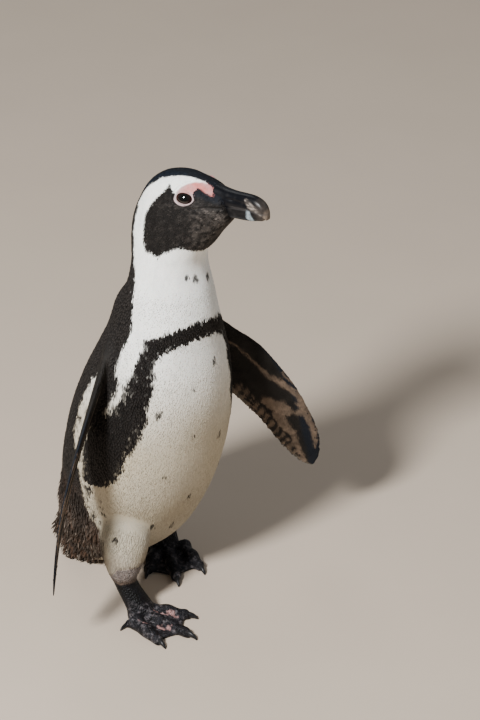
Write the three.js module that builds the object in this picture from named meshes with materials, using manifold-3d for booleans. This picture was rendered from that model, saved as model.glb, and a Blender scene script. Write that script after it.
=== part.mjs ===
// African penguin (Spheniscus demersus), life size, in mid-waddle: right foot ahead, flippers held out.
// Units are millimetres, +Z up, and the floor is z = 0. The trunk faces -Y and the bird's left is +X.
// The outline is the outside of the plumage. Flesh is one form, parted by thin cuts into named pieces.
import * as THREE from "three";
import { mergeVertices } from "three/addons/utils/BufferGeometryUtils.js";
import Module from "manifold-3d";

const wasm = await Module();
wasm.setup();

// ---------------------------------------------------------------- driving sizes
const CUT = 0.3; // gap left by each cut between two pieces
const HALF_CUT = CUT / 2;
const GIRTH_SIDES = 28; // sides of a ring round the body
const BODY_RINGS = 38; // rings from the vent to the bill

const HEAD_TURN = THREE.MathUtils.degToRad(14); // the head looks this far to the bird's left
const TURN_STARTS = 318; // height where the neck begins to turn
const TURN_ENDS = 392; // height where the head has its whole turn
const NECK_AXIS = new THREE.Vector3(0, -35, 0); // upright line that the neck turns about
const NECK_SHIFT = 5; // the head is carried this far to the bird's left

const FLIPPER_THICK = 8.6; // at the root
const EYE_RADIUS = 8.5;
const ANKLE_HEIGHT = 34;
const TOE_PAD = 6.2; // half thickness of a toe at its root

// Colours of the bird, dry and in full plumage.
const PLUMAGE_BLACK = { color: 0x1c1a1a, roughness: 0.75 };
const PLUMAGE_WHITE = { color: 0xe9e6dc, roughness: 0.8 };
const SKIN_BLACK = { color: 0x1a191c, roughness: 0.6 };
const HORN_BLACK = { color: 0x16171a, roughness: 0.35 };
const EYE_BROWN = { color: 0x1d0d08, roughness: 0.08 };

// ---------------------------------------------------------------- small tools
const Z_AXIS = new THREE.Vector3(0, 0, 1);
const vec = (x, y, z) => new THREE.Vector3(x, y, z);
const lerp = THREE.MathUtils.lerp;
const smoothstep = (x, low, high) => THREE.MathUtils.smoothstep(x, low, high);

// A smooth curve through rows of numbers: at(u) gives the row for u from 0, the first, to 1, the last.
function throughRows(rows) {
  const at = (u, column) => {
    const place = THREE.MathUtils.clamp(u, 0, 1) * (rows.length - 1);
    const i = Math.min(Math.floor(place), rows.length - 2);
    const value = (k) => rows[THREE.MathUtils.clamp(k, 0, rows.length - 1)][column];
    const [a, b, c, d] = [value(i - 1), value(i), value(i + 1), value(i + 2)];
    const t = place - i;
    return (
      b + 0.5 * t * (c - a + t * (2 * a - 5 * b + 4 * c - d + t * (3 * (b - c) + d - a)))
    );
  };
  return (u) => rows[0].map((_, column) => at(u, column));
}

// A closed solid through rings with the same number of points, with flat or pointed ends.
function loft(rings) {
  const sides = rings[0].length;
  const points = rings.flat();
  const faces = [];
  for (let r = 0; r + 1 < rings.length; r++)
    for (let k = 0; k < sides; k++) {
      const [a, b] = [r * sides + k, r * sides + ((k + 1) % sides)];
      faces.push([a, b, b + sides], [a, b + sides, a + sides]);
    }
  for (const [ring, first] of [[rings[0], 0], [rings.at(-1), (rings.length - 1) * sides]]) {
    const middle = ring.reduce((sum, p) => sum.clone().add(p), vec(0, 0, 0));
    points.push(middle.divideScalar(sides));
    for (let k = 0; k < sides; k++) {
      const face = [points.length - 1, first + ((k + 1) % sides), first + k];
      faces.push(first === 0 ? face : face.reverse());
    }
  }
  return solid(points, faces);
}

// A solid of points and triangles, turned round where its faces point inwards.
function solid(points, faces) {
  let volume = 0;
  for (const [a, b, c] of faces)
    volume += points[a].dot(points[b].clone().cross(points[c]));
  const order = volume < 0 ? faces.map(([a, b, c]) => [a, c, b]) : faces;
  const geometry = new THREE.BufferGeometry();
  geometry.setAttribute(
    "position",
    new THREE.Float32BufferAttribute(points.flatMap((p) => [p.x, p.y, p.z]), 3),
  );
  geometry.setIndex(order.flat());
  return solidOf(geometry);
}

function solidOf(geometry) {
  const bare = geometry.clone();
  bare.deleteAttribute("normal");
  bare.deleteAttribute("uv");
  const merged = mergeVertices(bare, 1e-4);
  return new wasm.Manifold(
    new wasm.Mesh({
      numProp: 3,
      vertProperties: new Float32Array(merged.attributes.position.array),
      triVerts: new Uint32Array(merged.index.array),
    }),
  );
}

function geometryOf(shape) {
  const { vertProperties, triVerts } = shape.getMesh();
  const geometry = new THREE.BufferGeometry();
  geometry.setAttribute("position", new THREE.BufferAttribute(vertProperties, 3));
  geometry.setIndex(new THREE.BufferAttribute(triVerts, 1));
  return geometry;
}

// Everything above a level, as a solid.
function above(level) {
  const reach = 1200;
  const block = new THREE.BoxGeometry(reach, reach, reach);
  return solidOf(block.translate(0, 0, level + reach / 2));
}

// ---------------------------------------------------------------- body form
// Each station joins a point of the back line to a point of the belly line, both as [forward, up]:
// [back forward, back up, belly forward, belly up, half width, share where widest, to the left]
const BODY_STATIONS = [
  [-94, 14, -50, 2, 31, 0.5, -14], // under the tail
  [-97, 36, -33, 7, 34, 0.5, -12], // vent
  [-97, 57, -13, 21, 43, 0.5, -8],
  [-95, 78, 11, 38.5, 53, 0.48, -5], // between the legs
  [-88, 102, 35, 64, 61, 0.48, -3],
  [-82, 130, 55, 102, 69, 0.48, -1.5], // low belly
  [-73, 160, 69, 144, 73, 0.48, -0.5], // widest
  [-63, 192, 77, 183, 72.5, 0.47, 0],
  [-50, 224, 81.5, 217, 67.5, 0.46, 0],
  [-35, 252, 82, 246, 61.5, 0.46, 0], // shoulders
  [-21, 280, 80, 272, 53.5, 0.46, 0],
  [-13.5, 305, 79, 298, 46, 0.47, 0],
  [1, 328, 75, 322, 40, 0.48, 0], // root of the neck
  [3.5, 350, 69.5, 342, 35.5, 0.5, 0],
  [0, 371, 68.5, 355, 33.5, 0.5, 0], // neck
  [0, 388, 72.5, 366, 32, 0.5, 0],
  [5, 404, 81, 377, 30.5, 0.5, 0], // nape
  [14, 420.3, 88.5, 388, 28.2, 0.49, 0],
  [29, 432.6, 94.5, 396, 25.6, 0.48, 0], // cheeks
  [46, 438.8, 98.5, 401, 22.3, 0.46, 0], // eyes
  [62, 439, 101, 404.5, 19.2, 0.45, 0],
  [76, 437.6, 102.5, 407.5, 16.4, 0.46, 0],
  [87.5, 433.6, 103.5, 410.5, 13.4, 0.48, 0],
  [96, 432, 103.5, 414, 10, 0.5, 0], // edge of the bill
];
const NECK_FROM = 11.6; // station number of the cut between trunk and neck
const HEAD_FROM = 15.4; // station number of the cut between neck and head
const SECTION_POWER = 0.94; // 1 is an ellipse, and less is squarer
const CROWN_POWER = 1.22; // the same for the upper half of the head
const CROWN_FROM = 15.5; // station numbers between which the section changes
const CROWN_FULL = 18.5;

const bodyStation = throughRows(BODY_STATIONS);
const stationCount = BODY_STATIONS.length - 1;

// A point given as the bird's forward, up and left, turned with the neck at its height.
function onBird(forward, up, left, turnShare) {
  const turn = turnShare ?? smoothstep(up, TURN_STARTS, TURN_ENDS);
  return vec(left, -forward, up)
    .sub(NECK_AXIS)
    .applyAxisAngle(Z_AXIS, HEAD_TURN * turn)
    .add(NECK_AXIS)
    .add(vec(NECK_SHIFT * turn, 0, 0));
}

const powered = (value, power) => Math.sign(value) * Math.abs(value) ** power;

// The ring of the body at a station number, grown outwards by some millimetres.
function bodyRing(station, grown = 0) {
  const [backF, backZ, bellyF, bellyZ, half, widest, sway] = bodyStation(station / stationCount);
  const depth = Math.hypot(backF - bellyF, backZ - bellyZ);
  const turn = smoothstep((backZ + bellyZ) / 2, TURN_STARTS, TURN_ENDS);
  const crown = lerp(SECTION_POWER, CROWN_POWER, smoothstep(station, CROWN_FROM, CROWN_FULL));
  const ring = [];
  for (let k = 0; k < GIRTH_SIDES; k++) {
    const angle = (k / GIRTH_SIDES) * 2 * Math.PI; // 0 at the belly line, half a turn at the back
    const along = powered(Math.cos(angle), SECTION_POWER);
    const reach = along > 0 ? widest * depth + grown : (1 - widest) * depth + grown;
    const share = widest - (along * reach) / depth; // 0 at the belly line, 1 at the back line
    const across = powered(Math.sin(angle), along > 0 ? SECTION_POWER : crown);
    const left = sway + across * (half + grown);
    const [f, z] = [lerp(bellyF, backF, share), lerp(bellyZ, backZ, share)];
    ring.push(onBird(f, z, left, turn));
  }
  return ring;
}

// The body from one station number to another.
function bodyLength(from, to, grown = 0) {
  const count = Math.max(2, Math.round(((to - from) / stationCount) * BODY_RINGS));
  const rings = [];
  for (let i = 0; i <= count; i++) rings.push(bodyRing(lerp(from, to, i / count), grown));
  return loft(rings);
}

// A station number a little before or after a cut, so that the pieces keep their gap.
const STATION_HEIGHT = 20; // millimetres of body between two stations near the cuts
const beside = (station, side) => station + (side * HALF_CUT) / STATION_HEIGHT;

const trunkWhole = bodyLength(0, beside(NECK_FROM, -1));
const trunkGrown = bodyLength(0, NECK_FROM, CUT);
const neck = bodyLength(beside(NECK_FROM, 1), beside(HEAD_FROM, -1));
const headWhole = bodyLength(beside(HEAD_FROM, 1), stationCount);
const headGrown = bodyLength(HEAD_FROM, stationCount, CUT);

// ---------------------------------------------------------------- tail
// [forward, up, half width, half thickness, to the left]
const TAIL_STATIONS = [
  [-74, 70, 20, 12, -6],
  [-85, 50, 25, 14, -8],
  [-93, 32, 27, 12, -9],
  [-99, 16, 26, 9.5, -10],
  [-104, 4, 21, 7, -10],
  [-107, -5, 16, 5.5, -10],
];
const TAIL_SIDES = 20;

function makeTail() {
  const at = throughRows(TAIL_STATIONS);
  const rings = [];
  const count = 12;
  for (let i = 0; i <= count; i++) {
    const [forward, up, half, thick, sway] = at(i / count);
    const ring = [];
    for (let k = 0; k < TAIL_SIDES; k++) {
      const angle = (k / TAIL_SIDES) * 2 * Math.PI;
      const left = sway + Math.cos(angle) * half;
      ring.push(vec(left, -forward - Math.sin(angle) * thick, up));
    }
    rings.push(ring);
  }
  return loft(rings).intersect(above(0)).subtract(trunkGrown);
}

// ---------------------------------------------------------------- legs
const LEG_SIDES = 18;
// Each foot: where its heel and its ankle stand, how far it is turned in (degrees), its side (1 is
// left), and the side of the heel where its small toe stands out (1 is the inside).
const FEET = {
  left: { side: 1, heel: vec(43, 38, 0), ankle: vec(43, 38, 0), turnIn: 25, smallToe: 1 },
  right: { side: -1, heel: vec(-50, -36, 0), ankle: vec(-53, -33.5, 0), turnIn: 15, smallToe: -1 },
};
// The feathered leg from inside the trunk to the ankle:
// [share of the way from hip to ankle, height, half width across, half depth]
const HIP = { out: 36, forward: 4 };
const LEG_STATIONS = [
  [0, 112, 12, 14],
  [0.18, 96, 18.5, 20],
  [0.36, 79, 23.5, 25],
  [0.6, 62, 22.5, 23.5],
  [0.85, 47, 17.5, 18],
  [1, 39, 13.5, 14],
  [1, 33, 12, 12.5],
];

function makeLeg({ side, ankle }) {
  const at = throughRows(LEG_STATIONS);
  const rings = [];
  const count = 12;
  for (let i = 0; i <= count; i++) {
    const [share, up, across, deep] = at(i / count);
    const x = lerp(side * HIP.out, ankle.x, share);
    const y = lerp(lerp(-HIP.forward, ankle.y, 0.35), ankle.y, share);
    const ring = [];
    for (let k = 0; k < LEG_SIDES; k++) {
      const angle = (k / LEG_SIDES) * 2 * Math.PI;
      ring.push(vec(x + Math.cos(angle) * across, y + Math.sin(angle) * deep, up));
    }
    rings.push(ring);
  }
  return loft(rings).subtract(trunkGrown);
}

// ---------------------------------------------------------------- feet
// Toes in the foot's own frame, [forward, to the inside], from the heel.
const TOES = {
  inner: { root: [15, 6], tip: [53, 24.5] },
  middle: { root: [17, -1], tip: [72, 0] },
  outer: { root: [20, -16], tip: [58, -26] },
};
const CLAW = { length: 10.5, start: 4.2, radius: 3 };
const HALLUX_CLAW = { length: 9, start: 3, radius: 2 };
const HALLUX_PAD = 3.2; // half thickness of the small toe
const WEB_THICK = 4.5;
const WEB_FROM = 4; // forward of the heel
const HALLUX = { root: [15, 12], tip: [14.5, 24] }; // the small toe at the heel

// A point of a foot's own frame in the bird's frame.
function onFoot({ side, heel, turnIn }, forward, inside, up) {
  const turn = THREE.MathUtils.degToRad(turnIn) * side;
  return vec(-side * inside, -forward, up).applyAxisAngle(Z_AXIS, -turn).add(heel);
}

// A toe: a low rounded bar with a flat sole, thicker at each joint.
function makeToe(foot, { root, tip }, pad) {
  const rings = [];
  const count = 8;
  const sides = 10;
  const direction = vec(tip[0] - root[0], tip[1] - root[1], 0).normalize();
  for (let i = 0; i <= count; i++) {
    const u = i / count;
    const joint = 1 + 0.1 * Math.cos(u * 4 * Math.PI);
    const end = u > 0.85 ? Math.sqrt(Math.max(0.12, 1 - ((u - 0.85) / 0.16) ** 2)) : 1;
    const wide = lerp(pad * 1.25, pad * 0.8, u) * joint * end;
    const tall = lerp(pad * 1.15, pad * 0.8, u) * joint * end;
    const ring = [];
    for (let k = 0; k < sides; k++) {
      const angle = (k / sides) * 2 * Math.PI;
      const across = Math.cos(angle) * wide;
      const f = lerp(root[0], tip[0], u) - direction.y * across;
      const inside = lerp(root[1], tip[1], u) + direction.x * across;
      ring.push(onFoot(foot, f, inside, tall * 0.8 + Math.sin(angle) * tall));
    }
    rings.push(ring);
  }
  return loft(rings);
}

// The web: a thin plate between the toes, with a hollow front edge in each gap.
function makeWeb(foot) {
  const shape = new THREE.Shape();
  const [inner, middle, outer] = [TOES.inner.tip, TOES.middle.tip, TOES.outer.tip];
  shape.moveTo(WEB_FROM, 7);
  shape.lineTo(inner[0] * 0.9, inner[1]);
  shape.quadraticCurveTo(
    (inner[0] + middle[0]) * 0.41, (inner[1] + middle[1]) * 0.5, middle[0] * 0.88, middle[1]);
  shape.quadraticCurveTo(
    (outer[0] + middle[0]) * 0.41, (outer[1] + middle[1]) * 0.5, outer[0] * 0.9, outer[1]);
  shape.lineTo(WEB_FROM, -7);
  shape.closePath();
  const plate = new THREE.ExtrudeGeometry(shape, {
    depth: WEB_THICK, bevelEnabled: false, curveSegments: 4,
  });
  const place = plate.attributes.position;
  for (let i = 0; i < place.count; i++) {
    const p = onFoot(foot, place.getX(i), place.getY(i), place.getZ(i));
    place.setXYZ(i, p.x, p.y, p.z);
  }
  return asSolid(plate);
}

// A solid of a geometry whose faces may have been turned inside out by a change of frame.
function asSolid(geometry) {
  const bare = geometry.clone();
  bare.deleteAttribute("normal");
  bare.deleteAttribute("uv");
  const merged = mergeVertices(bare, 1e-4);
  const place = merged.attributes.position;
  const points = [];
  for (let i = 0; i < place.count; i++) points.push(vec(place.getX(i), place.getY(i), place.getZ(i)));
  const faces = [];
  const index = merged.index.array;
  for (let i = 0; i < index.length; i += 3) faces.push([index[i], index[i + 1], index[i + 2]]);
  return solid(points, faces);
}

// The shank: a short stout column, leaning from the ankle to the instep, that spreads into the foot:
// [share of the way from the instep to the ankle, height, half width, half depth]
const INSTEP = 17; // forward of the heel
const SHANK_STATIONS = [
  [0, 2, 15.5, 13.5],
  [0.12, 10, 13.5, 12.5],
  [0.42, 19, 12, 12],
  [0.75, 28, 11, 11.2],
  [1, ANKLE_HEIGHT + 4, 10.5, 10.8],
];

const SHANK_SIDES = 14;

function makeShank(foot) {
  const at = throughRows(SHANK_STATIONS);
  const rings = [];
  const count = 6;
  for (let i = 0; i <= count; i++) {
    const [share, up, across, deep] = at(i / count);
    const lean = foot.ankle.clone().sub(onFoot(foot, INSTEP, 0, 0)).multiplyScalar(share);
    const ring = [];
    for (let k = 0; k < SHANK_SIDES; k++) {
      const angle = (k / SHANK_SIDES) * 2 * Math.PI;
      const p = onFoot(foot, INSTEP + Math.sin(angle) * deep, Math.cos(angle) * across, up);
      ring.push(p.add(lean));
    }
    rings.push(ring);
  }
  return loft(rings);
}

// A claw: a curved cone that leaves a toe's end and comes down towards the floor.
function makeClaw(foot, { root, tip }, { length, start, radius }, grown) {
  const rings = [];
  const count = 5;
  const sides = 8;
  const along = vec(tip[0] - root[0], tip[1] - root[1], 0).normalize();
  for (let i = 0; i <= count; i++) {
    const u = i / count;
    const reach = (length + grown) * (u - 0.22) - grown * (1 - u);
    const drop = (start - 0.8) * u * u;
    const size = radius * Math.sqrt(1 - u * 0.96) + grown;
    const ring = [];
    for (let k = 0; k < sides; k++) {
      const angle = (k / sides) * 2 * Math.PI;
      const across = Math.cos(angle) * size * 0.8;
      const f = tip[0] + along.x * reach - along.y * across;
      const inside = tip[1] + along.y * reach + along.x * across;
      ring.push(onFoot(foot, f, inside, start - drop + Math.sin(angle) * size));
    }
    rings.push(ring);
  }
  return loft(rings).intersect(above(0));
}

// ---------------------------------------------------------------- flippers
// [place along the length, ahead of the axis, behind the axis, share of the full thickness]
const FLIPPER_STATIONS = [
  [-0.14, 2, 6, 0.8],
  [0, 9, 17, 1.2],
  [0.13, 19.5, 23, 1.1],
  [0.25, 31, 26, 0.95],
  [0.38, 35.5, 24.5, 0.82],
  [0.5, 37, 18, 0.72],
  [0.62, 35.5, 14, 0.62],
  [0.74, 31.5, 13.5, 0.54],
  [0.84, 25.5, 13.5, 0.46],
  [0.92, 17, 11.5, 0.4],
  [0.97, 9.5, 8.5, 0.34],
  [1, 1.5, 3, 0.25],
];
// Each flipper: the shoulder joint, the tip, and the way that its front edge faces.
const FLIPPERS = {
  left: { shoulder: vec(50, -15, 269), tip: vec(163, -41, 79), front: vec(0.68, -0.63, 0.36) },
  right: { shoulder: vec(-50, -15, 269), tip: vec(-146, -56, 66), front: vec(-0.6, -0.71, 0.36) },
};
const FLIPPER_BEND = 7.5; // the blade is bent by this much beyond its middle
const FLIPPER_BEND_SKEW = 1.35;

function makeFlipper({ shoulder, tip, front }) {
  const long = tip.clone().sub(shoulder).normalize();
  const ahead = front.clone().addScaledVector(long, -front.dot(long)).normalize();
  const flat = long.clone().cross(ahead).normalize();
  const at = throughRows(FLIPPER_STATIONS);
  const rings = [];
  const count = 20;
  const sides = 14;
  for (let i = 0; i <= count; i++) {
    const [place, lead, trail, share] = at(i / count);
    const centre = shoulder.clone().lerp(tip, place);
    const bend = Math.sin(Math.PI * Math.max(place, 0) ** FLIPPER_BEND_SKEW);
    centre.addScaledVector(flat, FLIPPER_BEND * bend);
    const ring = [];
    for (let k = 0; k < sides; k++) {
      const angle = (k / sides) * 2 * Math.PI;
      const c = Math.cos(angle);
      const reach = c > 0 ? c * lead : c * trail;
      const bulge = c > 0 ? 1 : 0.8 - 0.2 * c * c; // fuller towards the front edge
      const thick = (Math.sin(angle) * bulge * share * FLIPPER_THICK) / 2;
      ring.push(centre.clone().addScaledVector(ahead, reach).addScaledVector(flat, thick));
    }
    rings.push(ring);
  }
  return loft(rings).subtract(trunkGrown);
}

// ---------------------------------------------------------------- bill
// Rings of the upper bill, in the head's own plane:
// [forward, gape up, ridge up, half width at the gape]
const UPPER_BILL = [
  [86, 420.8, 436, 9],
  [96, 422, 435, 8.2],
  [106, 423.2, 435.2, 7.4],
  [116, 424.4, 436.3, 6.9],
  [124.5, 425.4, 436.8, 6.7],
  [131.2, 425.2, 435.6, 6.4],
  [136.2, 423.6, 432.8, 5.6],
  [139, 421.6, 428.8, 4.3],
  [140.3, 419.4, 424.6, 2.6],
];
// [forward, underside up, gape up, half width at the gape]
const LOWER_BILL = [
  [86, 406.8, 420, 8.4],
  [96, 408.4, 421.2, 7.6],
  [106, 410.2, 422.4, 6.8],
  [116, 411.5, 423.6, 6.2],
  [124.5, 413.2, 424.6, 5.9],
  [130.6, 415.2, 424.4, 5.6],
  [135.2, 416.6, 423, 4.8],
  [138, 418.4, 421.2, 2.8],
];
const BILL_SIDES = 14;

function makeBill(rows, ridgeUp) {
  const at = throughRows(rows);
  const rings = [];
  const count = 13;
  for (let i = 0; i <= count; i++) {
    const [forward, low, high, half] = at(i / count);
    const ring = [];
    for (let k = 0; k < BILL_SIDES; k++) {
      const angle = (k / BILL_SIDES) * 2 * Math.PI;
      const [c, s] = [Math.cos(angle), Math.sin(angle)];
      const gape = ridgeUp ? low : high;
      const far = ridgeUp ? high : low;
      const rounded = s > 0 ? s ** 0.85 : 0; // the side away from the gape is domed
      const side = Math.sign(c) * Math.abs(c) ** (s > 0 ? 0.8 : 0.55) * half;
      const floor = s < 0 ? (ridgeUp ? s : -s) * 0.35 : 0; // the gape side is nearly flat
      ring.push(onBird(forward, lerp(gape, far, rounded) + floor, side, 1));
    }
    rings.push(ring);
  }
  return loft(rings).subtract(headGrown);
}

// ---------------------------------------------------------------- eyes
const EYE_PLACE = { forward: 63.8, up: 421.3, out: 15.5 };

function eyeball(side, radius) {
  const ball = new THREE.SphereGeometry(radius, 14, 10);
  const centre = onBird(EYE_PLACE.forward, EYE_PLACE.up, side * EYE_PLACE.out, 1);
  return solidOf(ball.translate(centre.x, centre.y, centre.z));
}

// ---------------------------------------------------------------- assembly
const penguin = new THREE.Group();
const ORIGIN_SHIFT = vec(-7.955, 13.94, 0); // puts the origin under the middle of the bird

function add(name, shape, look) {
  const mesh = new THREE.Mesh(geometryOf(shape), new THREE.MeshStandardMaterial({ metalness: 0, ...look }));
  mesh.name = name;
  mesh.position.copy(ORIGIN_SHIFT);
  penguin.add(mesh);
}

const floor = above(0);
const upperBill = makeBill(UPPER_BILL, true);
const lowerBill = makeBill(LOWER_BILL, false);
let head = headWhole;
for (const side of [1, -1]) head = head.subtract(eyeball(side, EYE_RADIUS + CUT));

add("trunk", trunkWhole.intersect(floor), PLUMAGE_WHITE);
add("neck", neck, PLUMAGE_WHITE);
add("head", head, PLUMAGE_BLACK);
add("bill_upper", upperBill, HORN_BLACK);
add("bill_lower", lowerBill.subtract(upperBill.translate([0, 0, -CUT])), HORN_BLACK);
add("tail", makeTail(), PLUMAGE_BLACK);

for (const [name, foot] of Object.entries(FEET)) {
  const across = ([forward, inside]) => [forward, inside * foot.smallToe];
  const hallux = { root: across(HALLUX.root), tip: across(HALLUX.tip) };
  let bare = makeShank(foot).add(makeWeb(foot)).add(makeToe(foot, hallux, HALLUX_PAD));
  for (const toe of Object.values(TOES)) bare = bare.add(makeToe(foot, toe, TOE_PAD));
  bare = bare.intersect(floor).subtract(above(ANKLE_HEIGHT - CUT)).subtract(trunkGrown);
  for (const [toeName, toe] of Object.entries({ ...TOES, hallux })) {
    const size = toeName === "hallux" ? HALLUX_CLAW : CLAW;
    bare = bare.subtract(makeClaw(foot, toe, size, CUT));
    add(`claw_${toeName}_${name}`, makeClaw(foot, toe, size, 0), HORN_BLACK);
  }
  add(`foot_${name}`, bare, SKIN_BLACK);
  add(`leg_${name}`, makeLeg(foot).intersect(above(ANKLE_HEIGHT)), PLUMAGE_WHITE);
  add(`flipper_${name}`, makeFlipper(FLIPPERS[name]), PLUMAGE_BLACK);
  add(`eye_${name}`, eyeball(foot.side, EYE_RADIUS), EYE_BROWN);
}

export default penguin;
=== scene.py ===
"""African penguin, life size: one skin with a coat of solid feathers, bill, eyes, claws and stage."""
import math

import bmesh
import bpy
import numpy as np
from bpy.props import FloatProperty, FloatVectorProperty, IntProperty, PointerProperty
from mathutils import Matrix, Vector
from mathutils.bvhtree import BVHTree
from mathutils.kdtree import KDTree


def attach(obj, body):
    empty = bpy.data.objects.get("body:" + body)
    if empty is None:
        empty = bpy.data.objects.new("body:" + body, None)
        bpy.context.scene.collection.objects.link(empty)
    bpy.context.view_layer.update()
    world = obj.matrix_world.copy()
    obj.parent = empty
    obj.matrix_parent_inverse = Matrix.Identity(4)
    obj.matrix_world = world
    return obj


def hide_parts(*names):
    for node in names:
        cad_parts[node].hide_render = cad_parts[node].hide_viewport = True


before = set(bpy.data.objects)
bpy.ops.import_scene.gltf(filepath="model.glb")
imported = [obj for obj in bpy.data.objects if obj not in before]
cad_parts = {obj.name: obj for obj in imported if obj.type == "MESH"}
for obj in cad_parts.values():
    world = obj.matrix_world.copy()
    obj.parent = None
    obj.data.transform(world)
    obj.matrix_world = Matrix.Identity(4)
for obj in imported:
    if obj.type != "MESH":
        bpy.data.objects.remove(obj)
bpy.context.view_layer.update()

bl_info = {
    "name": "African penguin",
    "version": (1, 0, 0),
    "blender": (4, 5, 0),
    "location": "View3D > Sidebar > Penguin",
    "description": "Builds the skin, feathers, bill, eyes, claws and stage of a life-size penguin",
    "category": "Object",
}

MM = 0.001

# ---------------------------------------------------------------- the solids' sizes, in millimetres
ORIGIN_SHIFT = np.array([-7.955, 13.94, 0.0])
HEAD_TURN = math.radians(14)
TURN_STARTS, TURN_ENDS = 318, 392
NECK_Y = -35
NECK_SHIFT = 5
SECTION_POWER, CROWN_POWER = 0.94, 1.22
CROWN_FROM, CROWN_FULL = 15.5, 18.5
EYE_RADIUS = 8.5
EYE_PLACE = (63.8, 421.3, 15.5)  # forward, up, out
ANKLE_HEIGHT = 34
TOE_PAD = 6.2
WEB_THICK, WEB_FROM = 4.5, 4
FLIPPER_THICK = 8.6
FLIPPER_BEND, FLIPPER_BEND_SKEW = 7.5, 1.35

BODY_STATIONS = [
    [-94, 14, -50, 2, 31, 0.5, -14],
    [-97, 36, -33, 7, 34, 0.5, -12],
    [-97, 57, -13, 21, 43, 0.5, -8],
    [-95, 78, 11, 38.5, 53, 0.48, -5],
    [-88, 102, 35, 64, 61, 0.48, -3],
    [-82, 130, 55, 102, 69, 0.48, -1.5],
    [-73, 160, 69, 144, 73, 0.48, -0.5],
    [-63, 192, 77, 183, 72.5, 0.47, 0],
    [-50, 224, 81.5, 217, 67.5, 0.46, 0],
    [-35, 252, 82, 246, 61.5, 0.46, 0],
    [-21, 280, 80, 272, 53.5, 0.46, 0],
    [-13.5, 305, 79, 298, 46, 0.47, 0],
    [1, 328, 75, 322, 40, 0.48, 0],
    [3.5, 350, 69.5, 342, 35.5, 0.5, 0],
    [0, 371, 68.5, 355, 33.5, 0.5, 0],
    [0, 388, 72.5, 366, 32, 0.5, 0],
    [5, 404, 81, 377, 30.5, 0.5, 0],
    [14, 420.3, 88.5, 388, 28.2, 0.49, 0],
    [29, 432.6, 94.5, 396, 25.6, 0.48, 0],
    [46, 438.8, 98.5, 401, 22.3, 0.46, 0],
    [62, 439, 101, 404.5, 19.2, 0.45, 0],
    [76, 437.6, 102.5, 407.5, 16.4, 0.46, 0],
    [87.5, 433.6, 103.5, 410.5, 13.4, 0.48, 0],
    [96, 432, 103.5, 414, 10, 0.5, 0],
]
TAIL_STATIONS = [
    [-74, 70, 20, 12, -6],
    [-85, 50, 25, 14, -8],
    [-93, 32, 27, 12, -9],
    [-99, 16, 26, 9.5, -10],
    [-104, 4, 21, 7, -10],
    [-107, -5, 16, 5.5, -10],
]
FEET = {
    "left": {"side": 1, "heel": (43, 38, 0), "ankle": (43, 38, 0), "turn_in": 25, "small_toe": 1},
    "right": {"side": -1, "heel": (-50, -36, 0), "ankle": (-53, -33.5, 0), "turn_in": 15, "small_toe": -1},
}
HIP_OUT, HIP_FORWARD = 36, 4
LEG_STATIONS = [
    [0, 112, 12, 14],
    [0.18, 96, 18.5, 20],
    [0.36, 79, 23.5, 25],
    [0.6, 62, 22.5, 23.5],
    [0.85, 47, 17.5, 18],
    [1, 39, 13.5, 14],
    [1, 33, 12, 12.5],
]
TOES = {
    "inner": ((15, 6), (53, 24.5)),
    "middle": ((17, -1), (72, 0)),
    "outer": ((20, -16), (58, -26)),
}
HALLUX = ((15, 12), (14.5, 24))
CLAW = {"length": 10.5, "start": 4.2, "radius": 3}
HALLUX_CLAW = {"length": 9, "start": 3, "radius": 2}
HALLUX_PAD = 3.2
INSTEP = 17
SHANK_STATIONS = [
    [0, 2, 15.5, 13.5],
    [0.12, 10, 13.5, 12.5],
    [0.42, 19, 12, 12],
    [0.75, 28, 11, 11.2],
    [1, ANKLE_HEIGHT + 4, 10.5, 10.8],
]
FLIPPER_STATIONS = [
    [-0.14, 2, 6, 0.8],
    [0, 9, 17, 1.2],
    [0.13, 19.5, 23, 1.1],
    [0.25, 31, 26, 0.95],
    [0.38, 35.5, 24.5, 0.82],
    [0.5, 37, 18, 0.72],
    [0.62, 35.5, 14, 0.62],
    [0.74, 31.5, 13.5, 0.54],
    [0.84, 25.5, 13.5, 0.46],
    [0.92, 17, 11.5, 0.4],
    [0.97, 9.5, 8.5, 0.34],
    [1, 1.5, 3, 0.25],
]
FLIPPERS = {
    "left": {"shoulder": (50, -15, 269), "tip": (163, -41, 79), "front": (0.68, -0.63, 0.36)},
    "right": {"shoulder": (-50, -15, 269), "tip": (-146, -56, 66), "front": (-0.6, -0.71, 0.36)},
}
UPPER_BILL = [
    [86, 420.8, 436, 9],
    [96, 422, 435, 8.2],
    [106, 423.2, 435.2, 7.4],
    [116, 424.4, 436.3, 6.9],
    [124.5, 425.4, 436.8, 6.7],
    [131.2, 425.2, 435.6, 6.4],
    [136.2, 423.6, 432.8, 5.6],
    [139, 421.6, 428.8, 4.3],
    [140.3, 419.4, 424.6, 2.6],
]
LOWER_BILL = [
    [86, 406.8, 420, 8.4],
    [96, 408.4, 421.2, 7.6],
    [106, 410.2, 422.4, 6.8],
    [116, 411.5, 423.6, 6.2],
    [124.5, 413.2, 424.6, 5.9],
    [130.6, 415.2, 424.4, 5.6],
    [135.2, 416.6, 423, 4.8],
    [138, 418.4, 421.2, 2.8],
]
BODY, LEG, TAIL, FLIPPER_L, FLIPPER_R, FOOT_L, FOOT_R = range(7)

# ---------------------------------------------------------------- number tools


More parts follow.
